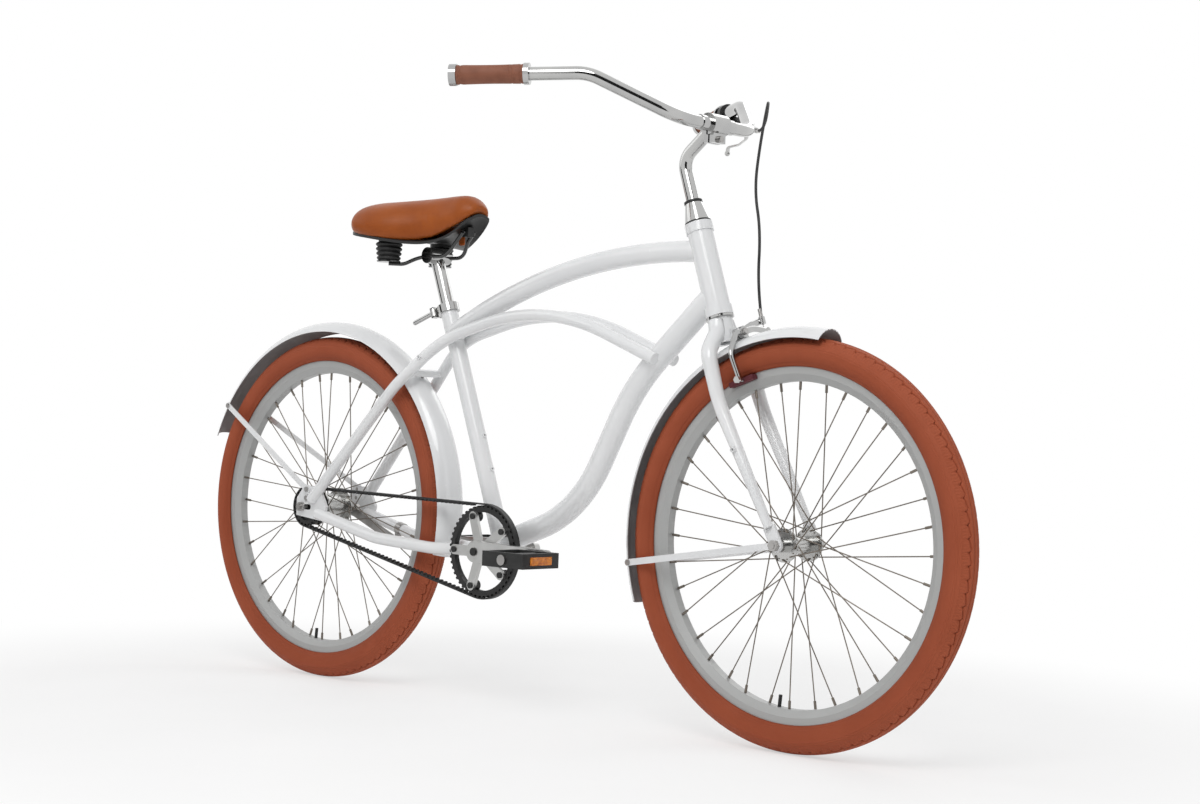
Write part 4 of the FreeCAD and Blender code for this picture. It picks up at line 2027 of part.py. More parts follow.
def make_boots():
    """Ribbed rubber boots, each over a spring."""
    boots = []
    springs = []
    rib_count = int(float(dim.boot_ribs))
    rib_height = dim.boot_height / rib_count
    for side, sign in SIDES.items():
        ribs = []
        for index in range(rib_count):
            low = dim.boot_base_z + rib_height * index
            levels = [(0, dim.boot_neck_radius), (0.3, dim.boot_radius),
                      (0.7, dim.boot_radius), (1, dim.boot_neck_radius)]
            circles = [circle(f"boot_{side}_{index}_{step}", boot_place(sign, low + rib_height * share),
                              AXIS_Z, radius)
                       for step, (share, radius) in enumerate(levels)]
            ribs.append(lofted(f"boot_rib_{side}_{index}", circles, True))
        bore = cylinder(f"boot_bore_{side}", boot_place(sign, dim.boot_base_z), AXIS_Z,
                        dim.boot_neck_radius - dim.boot_wall, dim.boot_height)
        boots.append(cut(f"boot_{side}", fuse(f"boot_ribs_{side}", *ribs), bore))
        coil = cylinder(f"spring_outer_{side}", boot_place(sign, dim.boot_base_z), AXIS_Z,
                        dim.spring_radius, dim.boot_height)
        core = cylinder(f"spring_core_{side}", boot_place(sign, dim.boot_base_z), AXIS_Z,
                        dim.spring_radius - dim.spring_wire, dim.boot_height)
        springs.append(cut(f"spring_{side}", coil, core))
    node(group("spring_boots", *boots))
    node(group("saddle_springs", *springs))


# Shares of the saddle's length, half width and thickness: place, width, skirt and crown.
saddle_stations = [(0.00, 0.66, 0.30, 0.68),
                   (0.08, 0.90, 0.23, 0.82),
                   (0.25, 1.00, 0.14, 0.88),
                   (0.45, 0.86, 0.04, 0.92),
                   (0.60, 0.62, 0.00, 0.95),
                   (0.75, 0.41, 0.08, 0.98),
                   (0.90, 0.30, 0.34, 1.00),
                   (1.00, 0.19, 0.56, 0.82)]
skirt_share = 0.93
bulge_rise = 0.35
shoulder_share = 0.80
shoulder_rise = 0.72
hollow_share = 0.3


def saddle_section(station):
    """Sizes of a cross section: its place, half width, skirt, crown and the hollow below."""
    along, width, low, high = station
    half = float(dim.saddle_half_width) * width
    return SimpleNamespace(
        x=float(dim.saddle_rear_x) + float(dim.saddle_length) * along,
        half=half,
        low=float(dim.saddle_level) + float(dim.saddle_thickness) * low,
        high=float(dim.saddle_level) + float(dim.saddle_thickness) * high,
        skirt=half * skirt_share,
        hollow=min(float(dim.saddle_hollow), half * hollow_share))


def arc(*places):
    return Part.Arc(*[at(*place) for place in places]).toShape()


def cover_wire(station):
    """A section of the cushion: drawn-in sides, a crowned top and a hollow underside."""
    cross = saddle_section(station)
    rise = cross.high - cross.low
    bulge = cross.low + rise * bulge_rise
    shoulder = cross.low + rise * shoulder_rise
    shoulder_y = cross.half * shoulder_share
    return Part.Wire([
        arc((cross.x, -cross.skirt, cross.low), (cross.x, -cross.half, bulge),
            (cross.x, -shoulder_y, shoulder)),
        arc((cross.x, -shoulder_y, shoulder), (cross.x, 0, cross.high), (cross.x, shoulder_y, shoulder)),
        arc((cross.x, shoulder_y, shoulder), (cross.x, cross.half, bulge),
            (cross.x, cross.skirt, cross.low)),
        arc((cross.x, cross.skirt, cross.low), (cross.x, 0, cross.low + cross.hollow),
            (cross.x, -cross.skirt, cross.low))])


def base_wire(station):
    """A section of the pan below the cushion, a little wider than the cushion's lower edge."""
    cross = saddle_section(station)
    edge = cross.skirt + float(dim.saddle_base_lip)
    top = cross.low - float(dim.saddle_gap)
    floor = top - float(dim.saddle_base_thickness)
    corners = [at(cross.x, edge, top), at(cross.x, edge, floor),
               at(cross.x, -edge, floor), at(cross.x, -edge, top)]
    return Part.Wire([
        arc((cross.x, -edge, top), (cross.x, 0, top + cross.hollow), (cross.x, edge, top)),
        Part.LineSegment(corners[0], corners[1]).toShape(),
        arc((cross.x, edge, floor), (cross.x, 0, floor + cross.hollow), (cross.x, -edge, floor)),
        Part.LineSegment(corners[2], corners[3]).toShape()])


def make_saddle():
    """The padded cover, and the pan under it with the pucks on the boots and the lug on the nose pin."""
    cover = [shaped(f"cover_section_{index}", cover_wire(station))
             for index, station in enumerate(saddle_stations)]
    node(lofted("saddle_cover", cover, False))
    pan = lofted("saddle_pan", [shaped(f"pan_section_{index}", base_wire(station))
                                for index, station in enumerate(saddle_stations)], False)
    pucks = [cylinder(f"boot_puck_{side}", boot_place(sign, boot_tops + dim.fit_gap), AXIS_Z,
                      dim.boot_neck_radius, dim.boot_puck_height)
             for side, sign in SIDES.items()]
    half = dim.nose_lug_half
    pin_frame = Placement(at(dim.nose_pin_x, 0, dim.nose_pin_z), Rotation())
    lug = block("nose_lug", pin_frame, (-half, -half, -half), half * 2, half * 2, dim.nose_lug_height)
    bore = cylinder("nose_bore", at(dim.nose_pin_x, -half, dim.nose_pin_z), AXIS_Y,
                    dim.nose_pin_radius + dim.running_gap, half * 2)
    node(cut("saddle_base", fuse("saddle_base_blank", pan, *pucks, lug), bore))


make_seat_clamp()
make_clamp_lever()
make_seatpost()
make_rails()
make_boots()
make_saddle()


def write_parts():
    """Checks every object of the document and writes each sub-part to its own file."""
    doc.recompute()
    failed = [thing.Label for thing in doc.Objects if {"Invalid", "Error"} & set(thing.State)]
    failed += [thing.Label for thing in nodes if thing.Shape.isNull() or not thing.Shape.isValid()]
    if failed:
        raise RuntimeError("failed objects: " + ", ".join(failed))
    os.makedirs("parts", exist_ok=True)
    for thing in nodes:
        thing.Shape.exportStep(f"parts/{thing.Label}.step")
        print(thing.Label, len(thing.Shape.Solids), round(thing.Shape.Volume))


write_parts()
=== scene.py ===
import json
import math

import bmesh
import bpy
import numpy as np
from mathutils import Matrix, Vector


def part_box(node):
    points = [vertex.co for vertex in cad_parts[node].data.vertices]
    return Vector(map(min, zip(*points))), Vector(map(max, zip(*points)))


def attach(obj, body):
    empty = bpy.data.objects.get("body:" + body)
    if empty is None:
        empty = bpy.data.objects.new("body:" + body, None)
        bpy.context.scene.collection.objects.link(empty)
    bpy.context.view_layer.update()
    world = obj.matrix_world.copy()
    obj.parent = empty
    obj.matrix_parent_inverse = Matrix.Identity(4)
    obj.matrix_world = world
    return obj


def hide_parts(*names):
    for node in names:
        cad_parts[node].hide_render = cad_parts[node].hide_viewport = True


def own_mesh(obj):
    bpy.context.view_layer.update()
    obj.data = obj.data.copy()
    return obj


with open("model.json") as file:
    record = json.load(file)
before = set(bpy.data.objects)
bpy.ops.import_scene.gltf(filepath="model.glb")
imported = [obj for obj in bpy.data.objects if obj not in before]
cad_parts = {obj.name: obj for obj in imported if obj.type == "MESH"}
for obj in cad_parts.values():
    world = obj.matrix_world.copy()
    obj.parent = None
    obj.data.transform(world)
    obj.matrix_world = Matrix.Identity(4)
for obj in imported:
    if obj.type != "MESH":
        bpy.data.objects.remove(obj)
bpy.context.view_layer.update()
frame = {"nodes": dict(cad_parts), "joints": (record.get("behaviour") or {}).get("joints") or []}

# Beach cruiser bicycle in metres: +X is forward, +Y is the rider's left, +Z is up.

MM = 0.001
nodes = frame["nodes"]
joints = {joint["name"]: joint for joint in frame["joints"]}


def joint_place(name):
    return Vector(joints[name]["pos_m"])


rear_axle = joint_place("rear_wheel_spin")
front_axle = joint_place("front_wheel_spin")
crank_axle = joint_place("crank_spin")
head_up = Vector(joints["steering_turn"]["axis"])
head_place = joint_place("steering_turn")


# Materials

class Finish:
    """A node material, built up step by step on its Principled shader."""

    def __init__(self, name, **sockets):
        self.material = bpy.data.materials.new(name)
        self.material.use_nodes = True
        self.links = self.material.node_tree.links
        self.shader = self.material.node_tree.nodes["Principled BSDF"]
        for socket, amount in sockets.items():
            self.shader.inputs[socket.replace("_", " ")].default_value = amount
        self.place = self.add("ShaderNodeTexCoord").outputs["Object"]
        self.normal = None

    def add(self, kind, inputs=None, **settings):
        """A node with its settings; an input is a number or another node's output."""
        made = self.material.node_tree.nodes.new(kind)
        for name, value in settings.items():
            setattr(made, name, value)
        for name, value in (inputs or {}).items():
            if isinstance(value, bpy.types.NodeSocket):
                self.links.new(value, made.inputs[name])
            else:
                made.inputs[name].default_value = value
        return made

    def noise(self, scale, detail=3.0, stretch=(1.0, 1.0, 1.0)):
        mapped = self.add("ShaderNodeMapping", {"Vector": self.place, "Scale": stretch})
        texture = self.add("ShaderNodeTexNoise",
                           {"Vector": mapped.outputs[0], "Scale": scale, "Detail": detail})
        return texture.outputs[0]

    def cells(self, scale, feature="F1"):
        texture = self.add("ShaderNodeTexVoronoi", {"Vector": self.place, "Scale": scale}, feature=feature)
        return texture.outputs["Distance"]

    def radius(self, centre):
        """Distance from the wheel axis through a centre."""
        shifted = self.add("ShaderNodeVectorMath", {0: self.place, 1: centre}, operation="SUBTRACT")
        flat = self.add("ShaderNodeVectorMath", {0: shifted.outputs[0], 1: (1, 0, 1)}, operation="MULTIPLY")
        return self.add("ShaderNodeVectorMath", {0: flat.outputs[0]}, operation="LENGTH").outputs["Value"]

    def lines(self, value, scale):
        """Fine uneven lines along a value, such as turning marks along a radius."""
        spread = self.add("ShaderNodeMath", {0: value, 1: scale}, operation="MULTIPLY")
        texture = self.add("ShaderNodeTexNoise", {"W": spread.outputs[0], "Scale": 1.0, "Detail": 2.0},
                           noise_dimensions="1D")
        return texture.outputs[0]

    def tint(self, factor, dark, light, low=0.3, high=0.7):
        """Base colour that goes from dark to light with a factor."""
        ramp = self.add("ShaderNodeValToRGB", {"Fac": factor})
        ramp.color_ramp.elements[0].position = low
        ramp.color_ramp.elements[1].position = high
        ramp.color_ramp.elements[0].color = (*dark, 1)
        ramp.color_ramp.elements[1].color = (*light, 1)
        self.links.new(ramp.outputs[0], self.shader.inputs["Base Color"])

    def rough(self, factor, low, high):
        """Roughness that goes from low to high with a factor."""
        span = self.add("ShaderNodeMapRange", {"Value": factor, "To Min": low, "To Max": high})
        self.links.new(span.outputs[0], self.shader.inputs["Roughness"])

    def soften(self, reach):
        """Evens out the surface's direction over a short reach."""
        self.normal = self.add("ShaderNodeBevel", {"Radius": reach}, samples=8).outputs[0]

    def bump(self, height, depth, strength=1.0):
        """Relief of a depth in metres, on top of any relief before it."""
        inputs = {"Height": height, "Distance": depth, "Strength": strength}
        if self.normal is not None:
            inputs["Normal"] = self.normal
        self.normal = self.add("ShaderNodeBump", inputs).outputs[0]
        self.links.new(self.normal, self.shader.inputs["Normal"])


def gloss_paint(name, dark, light, soft_reach=0.0):
    made = Finish(name, Coat_Weight=0.6, Coat_Roughness=0.05)
    if soft_reach:
        made.soften(soft_reach)
    made.tint(made.noise(5.0), dark, light)
    made.rough(made.noise(60.0), 0.20, 0.30)
    made.bump(made.noise(420.0, 1.0), 0.00002)
    return made.material


# Grey for the insides of the mudguards: painted shade, standing in for the shade that falls under the white
# mudguards.
def guard_inside_shade():
    made = Finish("guard_inside_shade")
    made.tint(made.noise(30.0, 5.0), (0.22, 0.21, 0.21), (0.30, 0.29, 0.29))
    made.rough(made.noise(90.0), 0.45, 0.65)
    made.bump(made.noise(900.0), 0.0001)
    return made.material


def chrome():
    made = Finish("chrome", Metallic=1.0)
    made.tint(made.noise(14.0), (0.42, 0.42, 0.42), (0.52, 0.52, 0.51))
    made.rough(made.noise(40.0, 4.0), 0.05, 0.14)
    made.bump(made.noise(1500.0, 2.0), 0.00001)
    return made.material


def brushed(name, dark, light, low_gloss, high_gloss, stretch):
    """Metal with fine marks drawn out across the stretched axes."""
    made = Finish(name, Metallic=1.0)
    marks = made.noise(700.0, 4.0, stretch)
    made.tint(made.noise(25.0, 4.0), dark, light)
    made.rough(marks, low_gloss, high_gloss)
    made.bump(marks, 0.00003)
    return made.material


def turned_metal(name, centre, dark, light, metallic, low_gloss, high_gloss):
    """Metal with marks that run round the wheel axis."""
    made = Finish(name, Metallic=metallic)
    marks = made.lines(made.radius(centre), 2500.0)
    made.tint(marks, dark, light)
    made.rough(made.noise(50.0), low_gloss, high_gloss)
    made.bump(marks, 0.00003)
    return made.material


sidewall_radius = 0.292
crown_radius = 0.330


def tyre_rubber(name, centre):
    """Tan-red rubber: the sidewall is darker than the tread, with rings and fine grain."""
    made = Finish(name, Specular_IOR_Level=0.22)
    radius = made.radius(centre)
    height = made.add("ShaderNodeMapRange",
                      {"Value": radius, "From Min": sidewall_radius, "From Max": crown_radius})
    blotch = made.add("ShaderNodeMath", {0: made.noise(18.0, 5.0), 1: 0.5}, operation="MULTIPLY")
    share = made.add("ShaderNodeMath", {0: height.outputs[0], 1: 0.5, 2: blotch.outputs[0]},
                     operation="MULTIPLY_ADD")
    made.tint(share.outputs[0], (0.300, 0.064, 0.026), (0.410, 0.098, 0.044), 0.15, 0.85)
    made.rough(made.noise(120.0, 4.0), 0.55, 0.78)
    made.bump(made.lines(radius, 1600.0), 0.00008)
    made.bump(made.noise(1300.0, 3.0), 0.00010)
    return made.material


def leather():
    """Smooth tan leather with a fine pebble grain and faint creases."""
    made = Finish("tan_leather", Specular_IOR_Level=0.22, Coat_Weight=0.06, Coat_Roughness=0.25)
    made.tint(made.noise(22.0, 6.0), (0.300, 0.066, 0.008), (0.375, 0.090, 0.013))
    made.rough(made.noise(90.0, 4.0), 0.34, 0.50)
    made.bump(made.cells(1100.0), 0.00010, 0.6)
    made.bump(made.noise(260.0, 5.0), 0.00020, 0.5)
    return made.material


def grained(name, dark, light, low_gloss, high_gloss, grain, depth):
    """Moulded rubber or plastic with a fine grain."""
    made = Finish(name, Specular_IOR_Level=0.4)
    made.tint(made.noise(35.0, 5.0), dark, light)
    made.rough(made.noise(140.0, 3.0), low_gloss, high_gloss)
    made.bump(made.cells(grain), depth, 0.7)
    made.bump(made.noise(grain * 1.7, 3.0), depth, 0.5)
    return made.material


def reflector():
    """Amber reflector with a grid of small prisms."""
    made = Finish("amber_reflector", Coat_Weight=0.8, Coat_Roughness=0.05, Subsurface_Weight=0.1,
                  Subsurface_Radius=(0.004, 0.001, 0.0003))
    made.tint(made.noise(160.0, 2.0), (0.50, 0.12, 0.002), (0.85, 0.27, 0.008))
    made.rough(made.noise(300.0), 0.12, 0.25)
    made.bump(made.cells(420.0, "DISTANCE_TO_EDGE"), 0.0004, 0.9)
    return made.material


white_paint = gloss_paint("white_paint", (0.80, 0.81, 0.82), (0.86, 0.865, 0.87))
fork_paint = gloss_paint("fork_paint", (0.80, 0.81, 0.82), (0.86, 0.865, 0.87), 0.005)
black_paint = gloss_paint("black_paint", (0.010, 0.010, 0.010), (0.022, 0.022, 0.022))
guard_painted_shade = guard_inside_shade()
bright_chrome = chrome()
silver_alloy = brushed("silver_alloy", (0.50, 0.50, 0.49), (0.62, 0.62, 0.61), 0.24, 0.40, (1.0, 1.0, 6.0))
plated_steel = brushed("plated_steel", (0.34, 0.33, 0.32), (0.50, 0.49, 0.48), 0.25, 0.42, (1.0, 4.0, 1.0))
dark_steel = brushed("dark_steel", (0.16, 0.14, 0.12), (0.25, 0.22, 0.19), 0.40, 0.55, (3.0, 3.0, 1.0))
rim_paints = {
    "front_rim": turned_metal("front_rim_grey", front_axle, (0.40, 0.405, 0.40), (0.46, 0.465, 0.46),
                              0.15, 0.35, 0.5),
    "rear_rim": turned_metal("rear_rim_grey", rear_axle, (0.40, 0.405, 0.40), (0.46, 0.465, 0.46),
                             0.15, 0.35, 0.5)}
hub_metals = {
    "front_hub": turned_metal("front_hub_metal", front_axle, (0.42, 0.42, 0.41), (0.60, 0.60, 0.59),
                              1.0, 0.15, 0.3),
    "rear_hub": turned_metal("rear_hub_metal", rear_axle, (0.36, 0.36, 0.35), (0.52, 0.52, 0.51),
                             1.0, 0.18, 0.35)}
tyre_rubbers = {"front": tyre_rubber("front_tyre_rubber", front_axle),
                "rear": tyre_rubber("rear_tyre_rubber", rear_axle)}
tan_leather = leather()
brown_rubber = grained("brown_rubber", (0.200, 0.068, 0.036), (0.285, 0.108, 0.062),
                       0.5, 0.7, 1500.0, 0.00010)
maroon_rubber = grained("maroon_rubber", (0.075, 0.012, 0.018), (0.13, 0.024, 0.032),
                        0.5, 0.7, 1200.0, 0.00010)
black_rubber = grained("black_rubber", (0.008, 0.008, 0.008), (0.020, 0.020, 0.020),
                       0.42, 0.6, 1400.0, 0.00008)
black_plastic = grained("black_plastic", (0.010, 0.010, 0.010), (0.024, 0.024, 0.024),
                        0.35, 0.52, 1800.0, 0.00006)
black_alloy = turned_metal("black_alloy", crank_axle, (0.010, 0.010, 0.010), (0.026, 0.026, 0.026),
                           0.3, 0.35, 0.5)
amber = reflector()

painted = {
    white_paint: ["head_tube", "top_tube", "down_tube", "seat_tube", "bottom_bracket_shell",
                  "cantilever_stays", "chainstays", "rear_dropouts", "fork_steerer", "rear_mudguard",
                  "front_mudguard", "rear_mudguard_stays", "front_mudguard_stays"],
    fork_paint: ["fork_blades"],
    bright_chrome: ["handlebar", "stem", "seatpost", "headset_races", "caliper_arm_right",
                    "caliper_arm_left", "grip_lock_rings", "seat_clamp", "seat_clamp_lever"],
    silver_alloy: ["brake_lever", "crank_arm_right", "crank_arm_left"],
    plated_steel: ["frame_bearings", "rear_axle", "front_axle", "coaster_brake_arm", "frame_bolts",
                   "steering_bolts", "crank_spindles"],
    dark_steel: ["front_spokes", "rear_spokes"],
    black_alloy: ["belt_ring", "rear_sprocket", "crankset_bolts"],
    black_rubber: ["front_inner_tube", "rear_inner_tube", "drive_belt"],
    black_plastic: ["pedal_right", "pedal_left", "brake_lever_body", "saddle_base"],
    maroon_rubber: ["brake_pad_right", "brake_pad_left"],
    black_paint: ["saddle_rails"],
}


def paint(node, *finishes):
    """Gives a node its materials; the first is used unless faces are chosen for another."""
    mesh = nodes[node].data
    mesh.materials.clear()
    for finish in finishes:
        mesh.materials.append(finish)


def paint_faces(node, index, wanted):
    """Gives another of the node's materials to the faces that are wanted by place and direction."""
    for face in nodes[node].data.polygons:
        if wanted(face.center, face.normal):
            face.material_index = index


for finish, names in painted.items():
    for name in names:
        paint(name, finish)
for finishes in (rim_paints, hub_metals):
    for name, finish in finishes.items():
        paint(name, finish)


guard_side_weight = 3.0


def faces_axle(axle):
    """Whether a face of a mudguard looks inwards, at its wheel."""
    def looks_in(place, normal):
        outward = Vector((place.x - axle.x, place.y * guard_side_weight, place.z - axle.z))
        return normal.dot(outward) < 0
    return looks_in


# Faces that look in at the wheel get the grey of painted shade; the rest keep the white paint.
for node, axle in (("rear_mudguard", rear_axle), ("front_mudguard", front_axle)):
    paint(node, white_paint, guard_painted_shade)
    paint_faces(node, 1, faces_axle(axle))

reflector_reach = 0.0446
reflector_half_width = 0.0262
reflector_half_height = 0.0072
for side in ("right", "left"):
    pedal_axle = joint_place(f"pedal_{side}_spin")
    middle = (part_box(f"pedal_{side}")[0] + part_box(f"pedal_{side}")[1]) / 2
    paint(f"pedal_{side}", black_plastic, amber)
    paint_faces(f"pedal_{side}", 1, lambda place, normal: (
        abs(place.x - pedal_axle.x) > reflector_reach and abs(place.y - middle.y) < reflector_half_width
        and abs(place.z - pedal_axle.z) < reflector_half_height))

head_heights = [(vertex.co - head_place).dot(head_up) for vertex in nodes["head_tube"].data.vertices]
head_top = max(head_heights)
seal_height = 0.0031
cone_top = 0.0359
paint("headset_races", bright_chrome, black_rubber)


def on_seal(place, normal):
    """Whether a face is on one of the two dark rings above the head tube."""
    height = (place - head_place).dot(head_up) - head_top
    return 0 < height < seal_height or height > cone_top


paint_faces("headset_races", 1, on_seal)

# The barrel on the brake lever's bracket: where it starts, which way it points and its size.
adjuster_place = Vector((0.27536, 0.22269, 1.04414))
adjuster_run = Vector((0.88781, -0.39725, -0.23236))
adjuster_radius = 0.0052
adjuster_start = 0.004
paint("brake_lever_body", black_plastic, silver_alloy)


def on_adjuster(place, normal):
    """Whether a face is on the metal barrel that the cable goes into."""
    along = (place - adjuster_place).dot(adjuster_run)
    aside = (place - adjuster_place - adjuster_run * along).length
    return along > adjuster_start and aside < adjuster_radius


paint_faces("brake_lever_body", 1, on_adjuster)


# Pieces

def surface(name, rows, loop_rows=False):
    """A mesh over rows of points, each row a closed ring. Open ends are closed by a fan."""
    rows = np.asarray(rows, float)
    count, width = rows.shape[:2]
    index = np.arange(count * width).reshape(count, width)
    faces = []
    for row in range(count if loop_rows else count - 1):
        here, there = index[row], index[(row + 1) % count]
        faces += np.stack([here, np.roll(here, -1), np.roll(there, -1), there], axis=1).tolist()
    points = rows.reshape(-1, 3).tolist()
    if not loop_rows:
        for ring in (index[0][::-1], index[-1]):
            points.append(np.mean([points[i] for i in ring], axis=0).tolist())
            faces += [[int(ring[k]), int(ring[(k + 1) % width]), len(points) - 1] for k in range(width)]
    mesh = bpy.data.meshes.new(name)
    mesh.from_pydata(points, [], faces)
    tidy = bmesh.new()
    tidy.from_mesh(mesh)
    bmesh.ops.recalc_face_normals(tidy, faces=tidy.faces)
    tidy.to_mesh(mesh)
    tidy.free()
    made = bpy.data.objects.new(name, mesh)
    bpy.context.scene.collection.objects.link(made)
    return made


def joined(name, pieces):
    """Several meshes as one piece."""
    whole = bmesh.new()
    for piece in pieces:
        whole.from_mesh(piece.data)
        bpy.data.objects.remove(piece)
    mesh = bpy.data.meshes.new(name)
    whole.to_mesh(mesh)
    whole.free()
    made = bpy.data.objects.new(name, mesh)
    bpy.context.scene.collection.objects.link(made)
    return made


def dress(piece, finish, body, slot, *replaced, sharp=None):
    """Gives a piece its material and body, and hides the nodes that it stands for; the slot is not used."""
    piece.data.materials.clear()
    piece.data.materials.append(finish)
    piece.data.shade_smooth()
    if sharp is not None:
        piece.data.set_sharp_from_angle(angle=math.radians(sharp))
    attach(piece, body)
    if replaced:
        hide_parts(*replaced)
    return piece


def curve_through(places, shares):
    """Values of a smooth curve through evenly weighted places, at shares of its length from 0 to 1."""
    places = np.asarray(places, float)
    steps = np.asarray(shares, float) * (len(places) - 1)
    start = np.clip(steps.astype(int), 0, len(places) - 2)
    part = (steps - start)[:, None]
    padded = np.vstack([2 * places[0] - places[1], places, 2 * places[-1] - places[-2]])
    a, b, c, d = (padded[start + k] for k in range(4))
    return 0.5 * (2 * b + (c - a) * part + (2 * a - 5 * b + 4 * c - d) * part ** 2
                  + (3 * b - a - 3 * c + d) * part ** 3)


# Tyres

tyre_radius = 0.332
tyre_section = 0.027
tyre_casing = 0.0035
tyre_inset = 0.0004
casing_rows = 13
tread_blocks = 100
block_steps = 16
# Rows of points, in millimetres from the middle of the tread round the section to the rim.
tread_half_rows = [0, 2.6, 3.3, 3.8, 4.3, 5.0, 7.5, 9.4, 10.0, 10.6, 11.2, 11.8, 12.4, 13.0, 13.6, 14.2,
                   14.8, 15.4, 16.2, 18.0, 20.5, 23.0, 25.5, 26.3, 27.2, 29.5, 32.0, 32.6, 33.2, 33.9, 35.5,
                   36.1, 36.7, 37.3, 41.0, 46.0, 51.0, 56.0, 58.0, 59.0, 60.0, 63.2, 66.5]
# The tread's relief in millimetres: grooves as place, half width and depth.
middle_groove = (3.8, 1.0, 1.8)
zigzag_groove = (12.4, 1.3, 2.6)
zigzag_swing = 1.8
zigzag_turn = 0.2
gap_zone = (13.0, 26.5)
gap_half_width = 1.9
gap_depth = 2.4
gap_end = 25.0
gap_fade = 10.0
rib_zone = (17.0, 26.0)
rib_depth = 0.35
ribs_per_block = 4
sidewall_rings = [(32.9, 0.7, -0.5), (36.4, 0.6, -0.4), (59.0, 1.0, 0.5)]


def groove(distance, half_width, depth):
    """A rounded groove, or a ridge where the depth is below zero."""
    return depth * np.clip(1 - (distance / half_width) ** 2, 0, 1)


def within(side, zone):
    return (side > zone[0]) & (side < zone[1])


def tread_depth(place, phase):
    """Depth of the tread in millimetres, at a place across the section and a phase along a block."""
    side = np.abs(place)
    swing = zigzag_swing * np.interp(phase, [0, zigzag_turn, 1], [1, -1, 1])
    block = 1000 * math.tau * tyre_radius / tread_blocks
    across = np.minimum(phase, 1 - phase) * block
    middle = groove(side - middle_groove[0], *middle_groove[1:])
    zigzag = groove(side - (zigzag_groove[0] + swing), *zigzag_groove[1:])
    fade = np.clip((gap_end - side) / gap_fade, 0, 1)
    gaps = np.where(within(side, gap_zone), groove(across, gap_half_width, gap_depth) * fade, 0)
    waves = rib_depth * (1 + np.cos(phase * math.tau * ribs_per_block))
    ribs = np.where(within(side, rib_zone), waves, 0)
    rings = sum(groove(side - ring, half_width, depth) for ring, half_width, depth in sidewall_rings)
    return middle + zigzag + np.maximum(gaps, ribs) + rings


def make_tyre(side, axle):
    """The tyre with its tread blocks, shoulder ribs and sidewall rings, open towards the rim."""
    steps = tread_blocks * block_steps
    turns = np.arange(steps) * math.tau / steps
    phases = (np.arange(steps) % block_steps) / block_steps
    places = np.array([-place for place in tread_half_rows[:0:-1]] + tread_half_rows)

    def ring(lean, size):
        """Points round the wheel at a lean from the crown and a size of the section."""
        reach = tyre_radius - tyre_section + size * math.cos(lean)
        return np.stack([axle.x + reach * np.cos(turns), axle.y + size * math.sin(lean),
                         axle.z + reach * np.sin(turns)], axis=1)

    rows = []
    for place in places:
        shifted = phases if place > 0 else (phases + 0.5) % 1
        depth = tread_depth(np.full(steps, place), shifted) * MM
        rows.append(ring(place * MM / tyre_section, tyre_section - depth - tyre_inset))
    last = places[-1] * MM / tyre_section
    for lean in np.linspace(last, -last, casing_rows):
        rows.append(ring(lean, np.full(steps, tyre_section - tyre_casing)))
    piece = surface(f"{side}_tyre_tread", rows, loop_rows=True)
    return dress(piece, tyre_rubbers[side], f"{side}_wheel", "brick_rubber", f"{side}_tyre")


make_tyre("front", front_axle)
make_tyre("rear", rear_axle)


# Saddle

saddle_low, saddle_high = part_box("saddle_cover")
saddle_size = saddle_high - saddle_low
# Sections from rear to nose, as shares of the cushion's box: half width, height of skirt, height of crown.
saddle_stations = [(0.60, 0.32, 0.70), (0.93, 0.21, 0.84), (1.00, 0.14, 0.89), (0.97, 0.08, 0.90),
                   (0.87, 0.03, 0.91), (0.70, 0.00, 0.925), (0.53, 0.03, 0.945), (0.41, 0.11, 0.97),
                   (0.345, 0.25, 0.99), (0.305, 0.38, 0.985), (0.22, 0.52, 0.86)]
# Half of a section from crown to skirt, as shares of its half width and height.
section_sides = [(0.0, 1.0), (0.26, 0.985), (0.50, 0.94), (0.72, 0.83), (0.88, 0.66), (0.975, 0.45),
                 (0.995, 0.24), (0.955, 0.06), (0.90, 0.0)]
saddle_hollow = 0.010
cushion_voxel = 0.0045
cushion_pressure = 4.0
cushion_frames = 20
cushion_cap = 0.006
cushion_inset = -0.0035
bottom_inset_share = 0.3
least_half_width = 0.002
hollow_share = 0.3
end_share = 0.12
end_rows = 9
between_rows = 28
between_gap = 0.02
least_end = 0.12
end_width_share = 0.55
end_thickness_share = 0.35
side_points = 25
under_points = 8
held_below = -0.55
tab_place = Vector((-0.219, 0.0, 0.846))
tab_width = 0.014
tab_height = 0.026
tab_thickness = 0.0022
tab_corners = 40
tab_squareness = 0.35


def saddle_ring(along, half, low, high, inset):
    """A section of the cushion as a closed ring of points."""
    x = saddle_low.x + saddle_size.x * along
    bottom = saddle_low.z + saddle_size.z * low + inset * bottom_inset_share
    top = saddle_low.z + saddle_size.z * high - inset
    wide = max(saddle_size.y / 2 * half - inset, least_half_width)
    outline = curve_through(section_sides, np.linspace(0, 1, side_points))
    side = [(wide * share, bottom + (top - bottom) * rise) for share, rise in outline]
    hollow = min(saddle_hollow, wide * hollow_share)
    edge = side[-1][0]
    inward = [1 - step / under_points for step in range(1, under_points)]
    under = [(edge * share, bottom + hollow * (1 - share ** 2)) for share in inward]
    right = side + under
    left = [(-y, z) for y, z in right[:0:-1]]
    middle = [(0.0, bottom + hollow)]
    return [(x, y, z) for y, z in right + middle + left]


